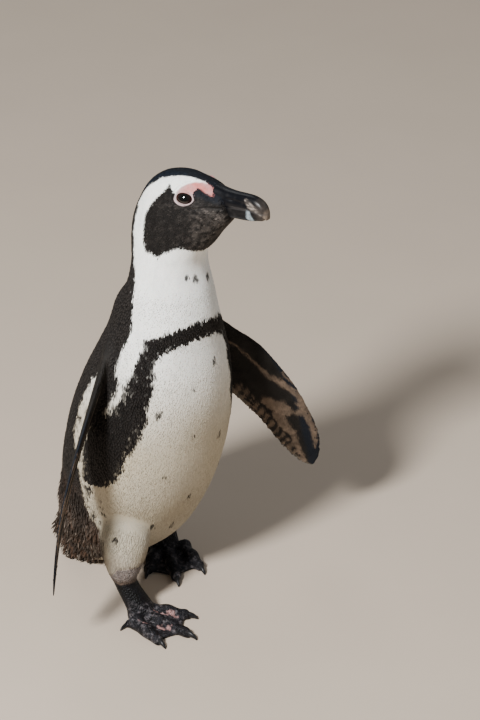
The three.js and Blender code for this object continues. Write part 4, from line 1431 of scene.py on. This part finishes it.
def feather_material():
    """Plumage: the painted colour, a paler tip, fine barbs, and a soft sheen."""
    made, nodes, links, shader = material("plumage")
    coat = add_node(nodes, "ShaderNodeAttribute", attribute_name="coat")
    along = add_node(nodes, "ShaderNodeAttribute", attribute_name="along")
    tip = add_node(nodes, "ShaderNodeAttribute", attribute_name="tip")
    coords = add_node(nodes, "ShaderNodeTexCoord")
    fine = add_node(nodes, "ShaderNodeTexNoise", {"Scale": 900.0, "Detail": 3.0, "Roughness": 0.6})
    links.new(coords.outputs["Object"], fine.inputs["Vector"])
    patchy = add_node(nodes, "ShaderNodeTexNoise", {"Scale": 160.0, "Detail": 2.0})
    links.new(coords.outputs["Object"], patchy.inputs["Vector"])

    grade = add_node(nodes, "ShaderNodeMapRange", {"From Min": 0.45, "From Max": 1.0})
    links.new(along.outputs["Fac"], grade.inputs["Value"])
    amount = add_node(nodes, "ShaderNodeMath", operation="MULTIPLY")
    links.new(grade.outputs[0], amount.inputs[0])
    links.new(tip.outputs["Fac"], amount.inputs[1])
    paler = add_node(nodes, "ShaderNodeMix", data_type="RGBA", blend_type="ADD")
    paler.inputs["B"].default_value = (0.031, 0.028, 0.026, 1)
    links.new(amount.outputs[0], paler.inputs["Factor"])
    links.new(coat.outputs["Color"], paler.inputs["A"])
    tone = ramp(nodes, [(0.25, (0.78, 0.78, 0.78)), (0.75, (1.12, 1.12, 1.12))])
    links.new(fine.outputs["Fac"], tone.inputs[0])
    varied = add_node(nodes, "ShaderNodeMix", data_type="RGBA", blend_type="MULTIPLY")
    varied.inputs["Factor"].default_value = 1.0
    links.new(paler.outputs["Result"], varied.inputs["A"])
    links.new(tone.outputs["Color"], varied.inputs["B"])
    links.new(varied.outputs["Result"], shader.inputs["Base Color"])

    rough = add_node(nodes, "ShaderNodeMapRange", {"To Min": 0.5, "To Max": 0.75})
    links.new(patchy.outputs["Fac"], rough.inputs["Value"])
    links.new(rough.outputs[0], shader.inputs["Roughness"])
    shader.inputs["Specular IOR Level"].default_value = 0.06

    # Pale feathers lie so close that they are lit as one surface.
    body = add_node(nodes, "ShaderNodeAttribute", attribute_name="up")
    own = add_node(nodes, "ShaderNodeNewGeometry")
    close = add_node(nodes, "ShaderNodeMapRange", {"From Max": 0.7, "To Min": 0.62, "To Max": 0.35})
    links.new(tip.outputs["Fac"], close.inputs["Value"])
    lit = add_node(nodes, "ShaderNodeMix", data_type="VECTOR")
    links.new(close.outputs[0], lit.inputs["Factor"])
    links.new(own.outputs["Normal"], lit.inputs[4])
    links.new(body.outputs["Vector"], lit.inputs[5])
    even = add_node(nodes, "ShaderNodeVectorMath", operation="NORMALIZE")
    links.new(lit.outputs[1], even.inputs[0])
    bump = add_node(nodes, "ShaderNodeBump", {"Strength": 0.3, "Distance": 0.00012})
    links.new(fine.outputs["Fac"], bump.inputs["Height"])
    links.new(even.outputs[0], bump.inputs["Normal"])
    links.new(bump.outputs[0], shader.inputs["Normal"])
    return made


def skin_material():
    """Skin: plumage colour under the coat, wrinkled bare face, scaly feet."""
    made, nodes, links, shader = material("bird_skin")
    coat = add_node(nodes, "ShaderNodeAttribute", attribute_name="coat")
    bare = add_node(nodes, "ShaderNodeAttribute", attribute_name="bare")
    coords = add_node(nodes, "ShaderNodeTexCoord")
    scales = add_node(nodes, "ShaderNodeTexVoronoi", {"Scale": 620.0, "Randomness": 0.75})
    links.new(coords.outputs["Object"], scales.inputs["Vector"])
    pores = add_node(nodes, "ShaderNodeTexNoise", {"Scale": 1500.0, "Detail": 4.0, "Roughness": 0.65})
    links.new(coords.outputs["Object"], pores.inputs["Vector"])
    tone = ramp(nodes, [(0.2, (0.70, 0.70, 0.70)), (0.8, (1.2, 1.2, 1.2))])
    links.new(pores.outputs["Fac"], tone.inputs[0])
    varied = add_node(nodes, "ShaderNodeMix", data_type="RGBA", blend_type="MULTIPLY")
    varied.inputs["Factor"].default_value = 1.0
    links.new(coat.outputs["Color"], varied.inputs["A"])
    links.new(tone.outputs["Color"], varied.inputs["B"])
    scaly = add_node(nodes, "ShaderNodeMapRange", {"From Min": 0.6, "From Max": 1.0})
    links.new(bare.outputs["Fac"], scaly.inputs["Value"])
    # Lighter scale edges on the bare feet: partly the skin's grey creases, partly painted highlight.
    plates = ramp(nodes, [(0.1, (0.75, 0.75, 0.75)), (0.55, (1.9, 1.85, 1.85))])
    links.new(scales.outputs["Distance"], plates.inputs[0])
    marked = add_node(nodes, "ShaderNodeMix", data_type="RGBA", blend_type="MULTIPLY")
    links.new(scaly.outputs[0], marked.inputs["Factor"])
    links.new(varied.outputs["Result"], marked.inputs["A"])
    links.new(plates.outputs["Color"], marked.inputs["B"])
    links.new(marked.outputs["Result"], shader.inputs["Base Color"])
    rough = add_node(nodes, "ShaderNodeMapRange", {"To Min": 0.75, "To Max": 0.45})
    links.new(bare.outputs["Fac"], rough.inputs["Value"])
    links.new(rough.outputs[0], shader.inputs["Roughness"])
    shader.inputs["Specular IOR Level"].default_value = 0.13
    shader.inputs["Subsurface Weight"].default_value = 0.06
    shader.inputs["Subsurface Radius"].default_value = (0.0012, 0.0005, 0.0003)
    shader.inputs["Subsurface Scale"].default_value = 1.0
    coarse = add_node(nodes, "ShaderNodeBump", {"Distance": 0.0009})
    coarse.invert = True
    links.new(scaly.outputs[0], coarse.inputs["Strength"])
    links.new(scales.outputs["Distance"], coarse.inputs["Height"])
    bump = add_node(nodes, "ShaderNodeBump", {"Strength": 0.4, "Distance": 0.0002})
    links.new(pores.outputs["Fac"], bump.inputs["Height"])
    links.new(coarse.outputs[0], bump.inputs["Normal"])
    links.new(bump.outputs[0], shader.inputs["Normal"])
    return made


def horn_material():
    """Bill and claws: painted horn with fine growth lines and scratches."""
    made, nodes, links, shader = material("keratin")
    coat = add_node(nodes, "ShaderNodeAttribute", attribute_name="coat")
    coords = add_node(nodes, "ShaderNodeTexCoord")
    turn = add_node(nodes, "ShaderNodeMapping")
    turn.inputs["Scale"].default_value = (1.0, 0.28, 1.0)
    links.new(coords.outputs["Object"], turn.inputs["Vector"])
    lines = add_node(nodes, "ShaderNodeTexNoise", {"Scale": 900.0, "Detail": 4.0, "Roughness": 0.6})
    links.new(turn.outputs[0], lines.inputs["Vector"])
    wear = add_node(nodes, "ShaderNodeTexNoise", {"Scale": 240.0, "Detail": 5.0, "Roughness": 0.7})
    links.new(coords.outputs["Object"], wear.inputs["Vector"])
    tone = ramp(nodes, [(0.3, (0.75, 0.75, 0.75)), (0.72, (1.3, 1.28, 1.25))])
    links.new(wear.outputs["Fac"], tone.inputs[0])
    varied = add_node(nodes, "ShaderNodeMix", data_type="RGBA", blend_type="MULTIPLY")
    varied.inputs["Factor"].default_value = 1.0
    links.new(coat.outputs["Color"], varied.inputs["A"])
    links.new(tone.outputs["Color"], varied.inputs["B"])
    links.new(varied.outputs["Result"], shader.inputs["Base Color"])
    rough = add_node(nodes, "ShaderNodeMapRange", {"To Min": 0.2, "To Max": 0.42})
    links.new(wear.outputs["Fac"], rough.inputs["Value"])
    links.new(rough.outputs[0], shader.inputs["Roughness"])
    shader.inputs["Specular IOR Level"].default_value = 0.15
    bump = add_node(nodes, "ShaderNodeBump", {"Strength": 0.35, "Distance": 0.00025})
    links.new(lines.outputs["Fac"], bump.inputs["Height"])
    links.new(bump.outputs[0], shader.inputs["Normal"])
    return made


def eye_material():
    """A wet dark eye: brown iris, black pupil, clear surface."""
    made, nodes, links, shader = material("eye_wet")
    coat = add_node(nodes, "ShaderNodeAttribute", attribute_name="coat")
    coords = add_node(nodes, "ShaderNodeTexCoord")
    fibres = add_node(nodes, "ShaderNodeTexNoise", {"Scale": 1600.0, "Detail": 3.0})
    links.new(coords.outputs["Object"], fibres.inputs["Vector"])
    tone = ramp(nodes, [(0.3, (0.6, 0.6, 0.6)), (0.7, (1.4, 1.35, 1.3))])
    links.new(fibres.outputs["Fac"], tone.inputs[0])
    varied = add_node(nodes, "ShaderNodeMix", data_type="RGBA", blend_type="MULTIPLY")
    varied.inputs["Factor"].default_value = 1.0
    links.new(coat.outputs["Color"], varied.inputs["A"])
    links.new(tone.outputs["Color"], varied.inputs["B"])
    links.new(varied.outputs["Result"], shader.inputs["Base Color"])
    shader.inputs["Roughness"].default_value = 0.06
    shader.inputs["Specular IOR Level"].default_value = 0.3
    shader.inputs["Coat Weight"].default_value = 0.55
    shader.inputs["Coat Roughness"].default_value = 0.02
    return made


def floor_material(colour):
    made, nodes, links, shader = material("floor_pale")
    coords = add_node(nodes, "ShaderNodeTexCoord")
    grain = add_node(nodes, "ShaderNodeTexNoise", {"Scale": 9.0, "Detail": 4.0, "Roughness": 0.5})
    links.new(coords.outputs["Object"], grain.inputs["Vector"])
    low, high = (tuple(c * k for c in colour) for k in (0.97, 1.0))
    tone = ramp(nodes, [(0.3, low), (0.7, high)])
    links.new(grain.outputs["Fac"], tone.inputs[0])
    links.new(tone.outputs["Color"], shader.inputs["Base Color"])
    shader.inputs["Roughness"].default_value = 0.9
    return made


def once(name, maker):
    return bpy.data.materials.get(name) or maker()


# ---------------------------------------------------------------- bill, eyes, claws


def bill_form(rows, ridge_up, count=110, sides=72):
    def point(r, k):
        forward, low, high, half = curve(rows, r).T
        c, s = np.cos(k), np.sin(k)
        gape, far = (low, high) if ridge_up else (high, low)
        rounded = np.where(s > 0, np.abs(s) ** 0.85, 0)
        side = np.sign(c) * np.abs(c) ** np.where(s > 0, 0.8, 0.55) * half
        floor = np.where(s < 0, (s if ridge_up else -s) * 0.35, 0)
        place = mix(gape, far, rounded) + floor
        if ridge_up:
            # A groove from the nostril towards the tip, and a slight ridge above it.
            share = (place - low) / np.maximum(high - low, 0.1)
            line = 0.52 - 0.16 * smooth(forward, 104, 128)
            groove = np.exp(-(((share - line) / 0.09) ** 2)) * smooth(forward, 98, 103) * smooth(forward, 131, 122)
            nostril = np.exp(-(((share - 0.50) / 0.07) ** 2 + ((forward - 107) / 3.0) ** 2))
            side = side * (1 - 0.085 * groove - 0.16 * nostril)
        else:
            share = (high - place) / np.maximum(high - low, 0.1)
            groove = np.exp(-(((share - 0.45) / 0.12) ** 2)) * smooth(forward, 98, 104) * smooth(forward, 128, 118)
            side = side * (1 - 0.06 * groove)
        return turned(forward, place, side, 1.0)

    return grid(count, sides, point)


def paint_bill(points):
    forward, up, left = unturned(points)
    colour = np.tile(np.array([0.0030, 0.0033, 0.0045]), (len(points), 1))
    wave = noise(points, 3, 131) * 0.8 + noise(points, 1.3, 132) * 0.5
    colour = blend(colour, np.array([0.0085, 0.0083, 0.0090]), smooth(noise(points, 4, 133), 0.1, 0.8))
    tip = smooth(forward + wave, 127, 137)
    grain = 0.5 + 0.5 * noise(points * np.array([1, 0.35, 1]), 1.6, 135)
    colour = blend(colour, np.array([0.050, 0.041, 0.035]), tip * (0.35 + 0.55 * grain))
    streaks = smooth(noise(points * np.array([1, 0.4, 2.2]), 1.8, 134), -0.2, 0.6)
    side = np.abs(left) > 2.5
    band = stroke(forward + wave, up, [(120.5, 433), (124.5, 430.6), (130, 427.8), (135.5, 424)],
                  [1.2, 2.5, 1.8, 0.9])
    colour = blend(colour, np.array([0.29, 0.25, 0.22]), smooth(band, -1.5, 1.3) * (0.15 + 0.75 * streaks) * side)
    white = stroke(forward + wave * 0.5, up, [(123.0, 423), (123.8, 418), (126.4, 414.4)], [1.7, 3.0, 2.2])
    dull = 0.62 + 0.3 * noise(points, 1.6, 136)
    colour = blend(colour, np.array([0.33, 0.40, 0.44]), smooth(white, -1.5, 1.2) * dull)
    edge = smooth(forward + (426 - up) * 0.25 + wave * 0.6, 137.5, 140.5) * smooth(up, 414, 418)
    colour = blend(colour, np.array([0.26, 0.20, 0.155]), edge * 0.6)
    line = smooth(0.9 - np.abs(up - np.interp(forward, [103, 124, 134], [422.6, 425, 424.6])), -0.3, 0.5)
    colour = blend(colour, np.array([0.060, 0.056, 0.055]), line * smooth(forward, 103, 109) * 0.5)
    return np.clip(colour, 0.002, 1)


def eye_form(side):
    """A globe with its axis out of the opening, and a slight cornea."""
    centre, along, upward, out = eye_frame(side)

    def point(r, k):
        polar = r * np.pi
        radius = EYE_RADIUS - 0.16 + 0.22 * smooth(np.cos(polar), 0.72, 0.95)
        ring = np.sin(np.clip(polar, 1e-3, np.pi - 1e-3)) * radius
        d = np.outer(np.cos(polar) * radius, out) + np.outer(np.cos(k) * ring, along)
        return centre + d + np.outer(np.sin(k) * ring, upward)

    verts, faces = grid(64, 64, point)
    d = unit(verts - centre)
    away = np.degrees(np.arccos(np.clip(d @ out, -1, 1)))
    colour = blend(np.array([0.0012, 0.0010, 0.0010]), np.array([0.0042, 0.0020, 0.0017]), smooth(away, 19, 25))
    colour = blend(colour, np.array([0.0075, 0.0028, 0.0022]), smooth(away, 30, 42))
    colour = blend(colour, np.array([0.030, 0.010, 0.008]), smooth(away, 43, 52))
    return verts, faces, colour


def claw_form(foot, root, tip, spec, rows=24, columns=20):
    way = unit(np.array([tip[0] - root[0], tip[1] - root[1]], float))

    def point(u, k):
        reach = spec["length"] * (u * 0.88 - 0.22)
        drop = (spec["start"] - 0.8) * u ** 2.6
        size = spec["radius"] * np.sqrt(1 - u ** 1.4 * 0.96)
        across = np.cos(k) * size * 0.8
        f = tip[0] + way[0] * reach - way[1] * across
        inside = tip[1] + way[1] * reach + way[0] * across
        return on_foot(foot, f, inside, np.maximum(spec["start"] - drop + np.sin(k) * size, 0.05))

    return grid(rows, columns, point)


# ---------------------------------------------------------------- settings


class PENGUIN_PG_skin(bpy.types.PropertyGroup):
    """Sizes of the skin's mesh."""

    voxel: FloatProperty(
        name="Detail", description="Edge of a voxel of the skin, in millimetres", default=1.05, min=0.5, max=4.0)


class PENGUIN_PG_coat(bpy.types.PropertyGroup):
    """Sizes of the feathers."""

    length: FloatProperty(
        name="Length", description="Length of a body feather", default=0.0062, min=0.001, max=0.03, unit="LENGTH")
    width: FloatProperty(
        name="Width", description="Width of a body feather", default=0.0037, min=0.001, max=0.02, unit="LENGTH")
    lift: FloatProperty(
        name="Lift", description="How far a feather stands off the skin", default=0.150, min=0.0, max=0.8,
        subtype="ANGLE")
    scatter: FloatProperty(
        name="Scatter", description="How much feathers differ from each other", default=0.07, min=0.0, max=0.4)
    spacing: FloatProperty(
        name="Spacing", description="Gap between feathers, as a share of the usual gap", default=1.0, min=0.6,
        max=4.0)
    seed: IntProperty(name="Seed", description="Changes where each feather falls", default=7, min=0)


class PENGUIN_PG_stage(bpy.types.PropertyGroup):
    """The floor, the lights and the camera."""

    floor: FloatVectorProperty(
        name="Floor", description="Colour of the floor", subtype="COLOR", default=(0.465, 0.385, 0.305), min=0, max=1)
    key: FloatProperty(name="Key light", description="Power of the main light", default=140.0, min=0, unit="POWER")
    ambient: FloatProperty(name="Ambient", description="Strength of the light all round", default=0.22, min=0)
    azimuth: FloatProperty(
        name="Azimuth", description="Camera's way round the bird", default=math.radians(-38), subtype="ANGLE")
    elevation: FloatProperty(
        name="Elevation", description="Camera's height over the horizon", default=math.radians(30),
        subtype="ANGLE")
    distance: FloatProperty(
        name="Distance", description="Camera's distance", default=3.0, min=0.5, unit="LENGTH")


# ---------------------------------------------------------------- operators

FLESH = ["trunk", "neck", "head", "tail", "leg_left", "leg_right", "foot_left", "foot_right",
         "flipper_left", "flipper_right"]


class PENGUIN_OT_skin(bpy.types.Operator):
    """Builds the one skin of body, legs, feet and flippers"""

    bl_idname = "penguin.skin"
    bl_label = "Skin"

    def execute(self, context):
        voxel = context.scene.penguin_skin.voxel * 1
        skin = build_skin(voxel)
        skin.data.materials.clear()
        skin.data.materials.append(once("bird_skin", skin_material))
        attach(skin, "root")
        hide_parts(*FLESH)
        return {"FINISHED"}


class PENGUIN_OT_coat(bpy.types.Operator):
    """Grows the coat of feathers over the skin, in pieces by region"""

    bl_idname = "penguin.coat"
    bl_label = "Feathers"

    def execute(self, context):
        sizes = context.scene.penguin_coat
        skin = bpy.data.objects["skin"]
        loose = sizes.spacing * 1
        rng = np.random.default_rng(sizes.seed)
        places, up, lie, labels = spread_points(
            skin.data, feathered, lambda m, k: feather_spacing(m, k) * (1 - 0.34 * fineness(m, k)) * loose,
            sizes.seed)
        forward, height, left = unturned(places)
        gap = feather_spacing(places, labels)
        size = np.clip(gap / 2.0, 0.45, 1.15)
        size = np.where(np.isin(labels, (FLIPPER_L, FLIPPER_R)), 0.5, size)
        colour, tips = painted(places, lie, size, labels, rng)
        slim = 1 - 0.52 * fineness(places, labels)
        dark = smooth(colour.mean(1), 0.45, 0.10)
        rise = mix(0.62, 1.0, dark)
        rise = np.where(labels == LEG, rise * 0.7, rise)
        size = np.where(labels == LEG, size * 0.85, size)
        sink = np.where(np.isin(labels, (LEG, FLIPPER_L, FLIPPER_R)), 0.08, 0.25)
        body = labels == BODY
        angle = np.abs(trunk_angle(places)[3])
        back = body & (angle > 90)
        rump = (body & (height < 112) & (angle > np.interp(height, *np.array(BACK_EDGE, float).T) + 4))
        rump |= labels == TAIL
        groups = {
            "feathers_rump": rump,
            "feathers_back": back & (height >= 100) & (height < 340) & ~rump,
            "feathers_belly": body & (height < 150) & ~rump & ~(back & (height >= 100)),
            "feathers_breast": body & ~back & (height >= 150) & (height < 240),
            "feathers_chest": body & ~back & (height >= 240) & (height < 340),
            "feathers_neck": body & (height >= 340) & (height < 388),
            "feathers_head": body & (height >= 388),
            "feathers_legs": labels == LEG,
            "feathers_flipper_left": labels == FLIPPER_L,
            "feathers_flipper_right": labels == FLIPPER_R,
        }
        tree, vane = coat_tree(), vane_mesh()
        look = once("plumage", feather_material)
        for name, here in groups.items():
            shape = {"Length": sizes.length, "Width": sizes.width, "Thickness": 0.0030, "Lift": sizes.lift,
                     "Scatter": sizes.scatter, "Seed": sizes.seed}
            if "flipper" in name:
                shape["Lift"] *= 0.45
            scale = size[here]
            if name == "feathers_rump":
                shape |= {"Length": sizes.length * 2.1, "Width": sizes.width * 0.62, "Lift": sizes.lift * 1.3,
                          "Scatter": sizes.scatter * 2.4}
                scale = mix(0.72, 1.0, smooth(height[here], 112, 85))
            made = grow(
                name,
                (places[here] - up[here] * sink[here, None], up[here], lie[here], labels[here], colour[here],
                 tips[here], scale, rise[here], slim[here]),
                shape, tree, vane, look)
            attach(made, "root")
        return {"FINISHED"}


class PENGUIN_OT_bill(bpy.types.Operator):
    """Builds the two halves of the bill"""

    bl_idname = "penguin.bill"
    bl_label = "Bill"

    def execute(self, context):
        for name, rows, ridge_up in (("bill_upper", UPPER_BILL, True), ("bill_lower", LOWER_BILL, False)):
            verts, faces = bill_form(rows, ridge_up)
            made = new_object(name + "_horn", verts, faces)
            write(made.data, "coat", "FLOAT_COLOR", paint_bill(places_of(made.data)))
            made.data.materials.append(once("keratin", horn_material))
            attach(made, "root")
            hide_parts(name)
        return {"FINISHED"}


class PENGUIN_OT_eyes(bpy.types.Operator):
    """Builds the two wet eyes"""

    bl_idname = "penguin.eyes"
    bl_label = "Eyes"

    def execute(self, context):
        for name, side in (("left", 1), ("right", -1)):
            verts, faces, colour = eye_form(side)
            made = new_object(f"eyeball_{name}", verts, faces)
            write(made.data, "coat", "FLOAT_COLOR", colour)
            made.data.materials.append(once("eye_wet", eye_material))
            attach(made, "root")
            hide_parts(f"eye_{name}")
        return {"FINISHED"}


class PENGUIN_OT_claws(bpy.types.Operator):
    """Builds the eight claws"""

    bl_idname = "penguin.claws"
    bl_label = "Claws"

    def execute(self, context):
        for name, foot in FEET.items():
            flip = foot["small_toe"]
            toes = {**TOES, "hallux": tuple((f, i * flip) for f, i in HALLUX)}
            for toe, (root, tip) in toes.items():
                spec = HALLUX_CLAW if toe == "hallux" else CLAW
                verts, faces = claw_form(foot, root, tip, spec)
                made = new_object(f"claw_horn_{toe}_{name}", verts, faces)
                points = places_of(made.data)
                colour = np.array([0.012, 0.012, 0.013]) * (1 + 0.5 * noise(points, 2, 141)[:, None])
                write(made.data, "coat", "FLOAT_COLOR", np.clip(colour, 0.002, 1))
                made.data.materials.append(once("keratin", horn_material))
                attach(made, "root")
                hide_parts(f"claw_{toe}_{name}")
        return {"FINISHED"}


class PENGUIN_OT_stage(bpy.types.Operator):
    """Makes the floor, the lights and the camera"""

    bl_idname = "penguin.stage"
    bl_label = "Stage"

    def execute(self, context):
        stage = context.scene.penguin_stage
        mesh = bpy.data.meshes.new("floor")
        reach = 30
        mesh.from_pydata([(-reach, -reach, 0), (reach, -reach, 0), (reach, reach, 0), (-reach, reach, 0)], [],
                         [(0, 1, 2, 3)])
        floor = bpy.data.objects.new("floor", mesh)
        context.scene.collection.objects.link(floor)
        floor.data.materials.append(floor_material(tuple(stage.floor)))

        def sun_from(azimuth, elevation, power, size, name, distance=2.4):
            a, e = math.radians(azimuth), math.radians(elevation)
            back = Vector((math.sin(a) * math.cos(e), -math.cos(a) * math.cos(e), math.sin(e)))
            data = bpy.data.lights.new(name, "AREA")
            data.energy, data.size, data.shape = power, size, "DISK"
            lamp = bpy.data.objects.new(name, data)
            lamp.location = Vector((0, 0, 0.22)) + back * distance
            lamp.rotation_mode = "QUATERNION"
            lamp.rotation_quaternion = (-back).to_track_quat("-Z", "Y")
            context.scene.collection.objects.link(lamp)

        sun_from(-70, 41, stage.key, 0.42, "key")
        sun_from(60, 35, stage.key * 0.05, 1.6, "fill")
        sun_from(160, 50, stage.key * 0.07, 1.2, "rim")
        world = bpy.data.worlds.new("studio")
        world.use_nodes = True
        back = world.node_tree.nodes["Background"]
        back.inputs["Color"].default_value = (0.93, 0.96, 1.0, 1)
        back.inputs["Strength"].default_value = stage.ambient
        context.scene.world = world

        target = Vector(((74.9 + ORIGIN_SHIFT[0]) * MM, (-41.6 + ORIGIN_SHIFT[1]) * MM, 223.2 * MM))
        a, e = stage.azimuth, stage.elevation
        away = Vector((math.sin(a) * math.cos(e), -math.cos(a) * math.cos(e), math.sin(e)))
        data = bpy.data.cameras.new("camera")
        data.sensor_width = 36
        data.lens = 36 * 3333.3 / 720
        camera = bpy.data.objects.new("camera", data)
        camera.location = target + away * stage.distance
        camera.rotation_mode = "QUATERNION"
        camera.rotation_quaternion = (-away).to_track_quat("-Z", "Y")
        data.clip_end = 100
        context.scene.collection.objects.link(camera)
        context.scene.camera = camera
        return {"FINISHED"}


class PENGUIN_PT_panel(bpy.types.Panel):
    """Lists the penguin's pieces and their settings"""

    bl_idname = "PENGUIN_PT_panel"
    bl_label = "African penguin"
    bl_space_type = "VIEW_3D"
    bl_region_type = "UI"
    bl_category = "Penguin"

    def draw(self, context):
        layout = self.layout
        for group in ("penguin_skin", "penguin_coat", "penguin_stage"):
            box = layout.box()
            settings = getattr(context.scene, group)
            for key in settings.bl_rna.properties.keys():
                if key not in ("rna_type", "name"):
                    box.prop(settings, key)
        for operator in OPERATORS:
            layout.operator(operator.bl_idname)


OPERATORS = (PENGUIN_OT_stage, PENGUIN_OT_skin, PENGUIN_OT_coat, PENGUIN_OT_bill, PENGUIN_OT_eyes,
             PENGUIN_OT_claws)
GROUPS = {"penguin_skin": PENGUIN_PG_skin, "penguin_coat": PENGUIN_PG_coat, "penguin_stage": PENGUIN_PG_stage}
CLASSES = (*GROUPS.values(), *OPERATORS, PENGUIN_PT_panel)


def register():
    for cls in CLASSES:
        bpy.utils.register_class(cls)
    for name, group in GROUPS.items():
        setattr(bpy.types.Scene, name, PointerProperty(type=group))


def unregister():
    for name in GROUPS:
        delattr(bpy.types.Scene, name)
    for cls in reversed(CLASSES):
        bpy.utils.unregister_class(cls)


def main():
    register()
    bpy.ops.penguin.stage()
    bpy.ops.penguin.skin()
    bpy.ops.penguin.coat()
    bpy.ops.penguin.bill()
    bpy.ops.penguin.eyes()
    bpy.ops.penguin.claws()


if __name__ == "__main__":
    main()
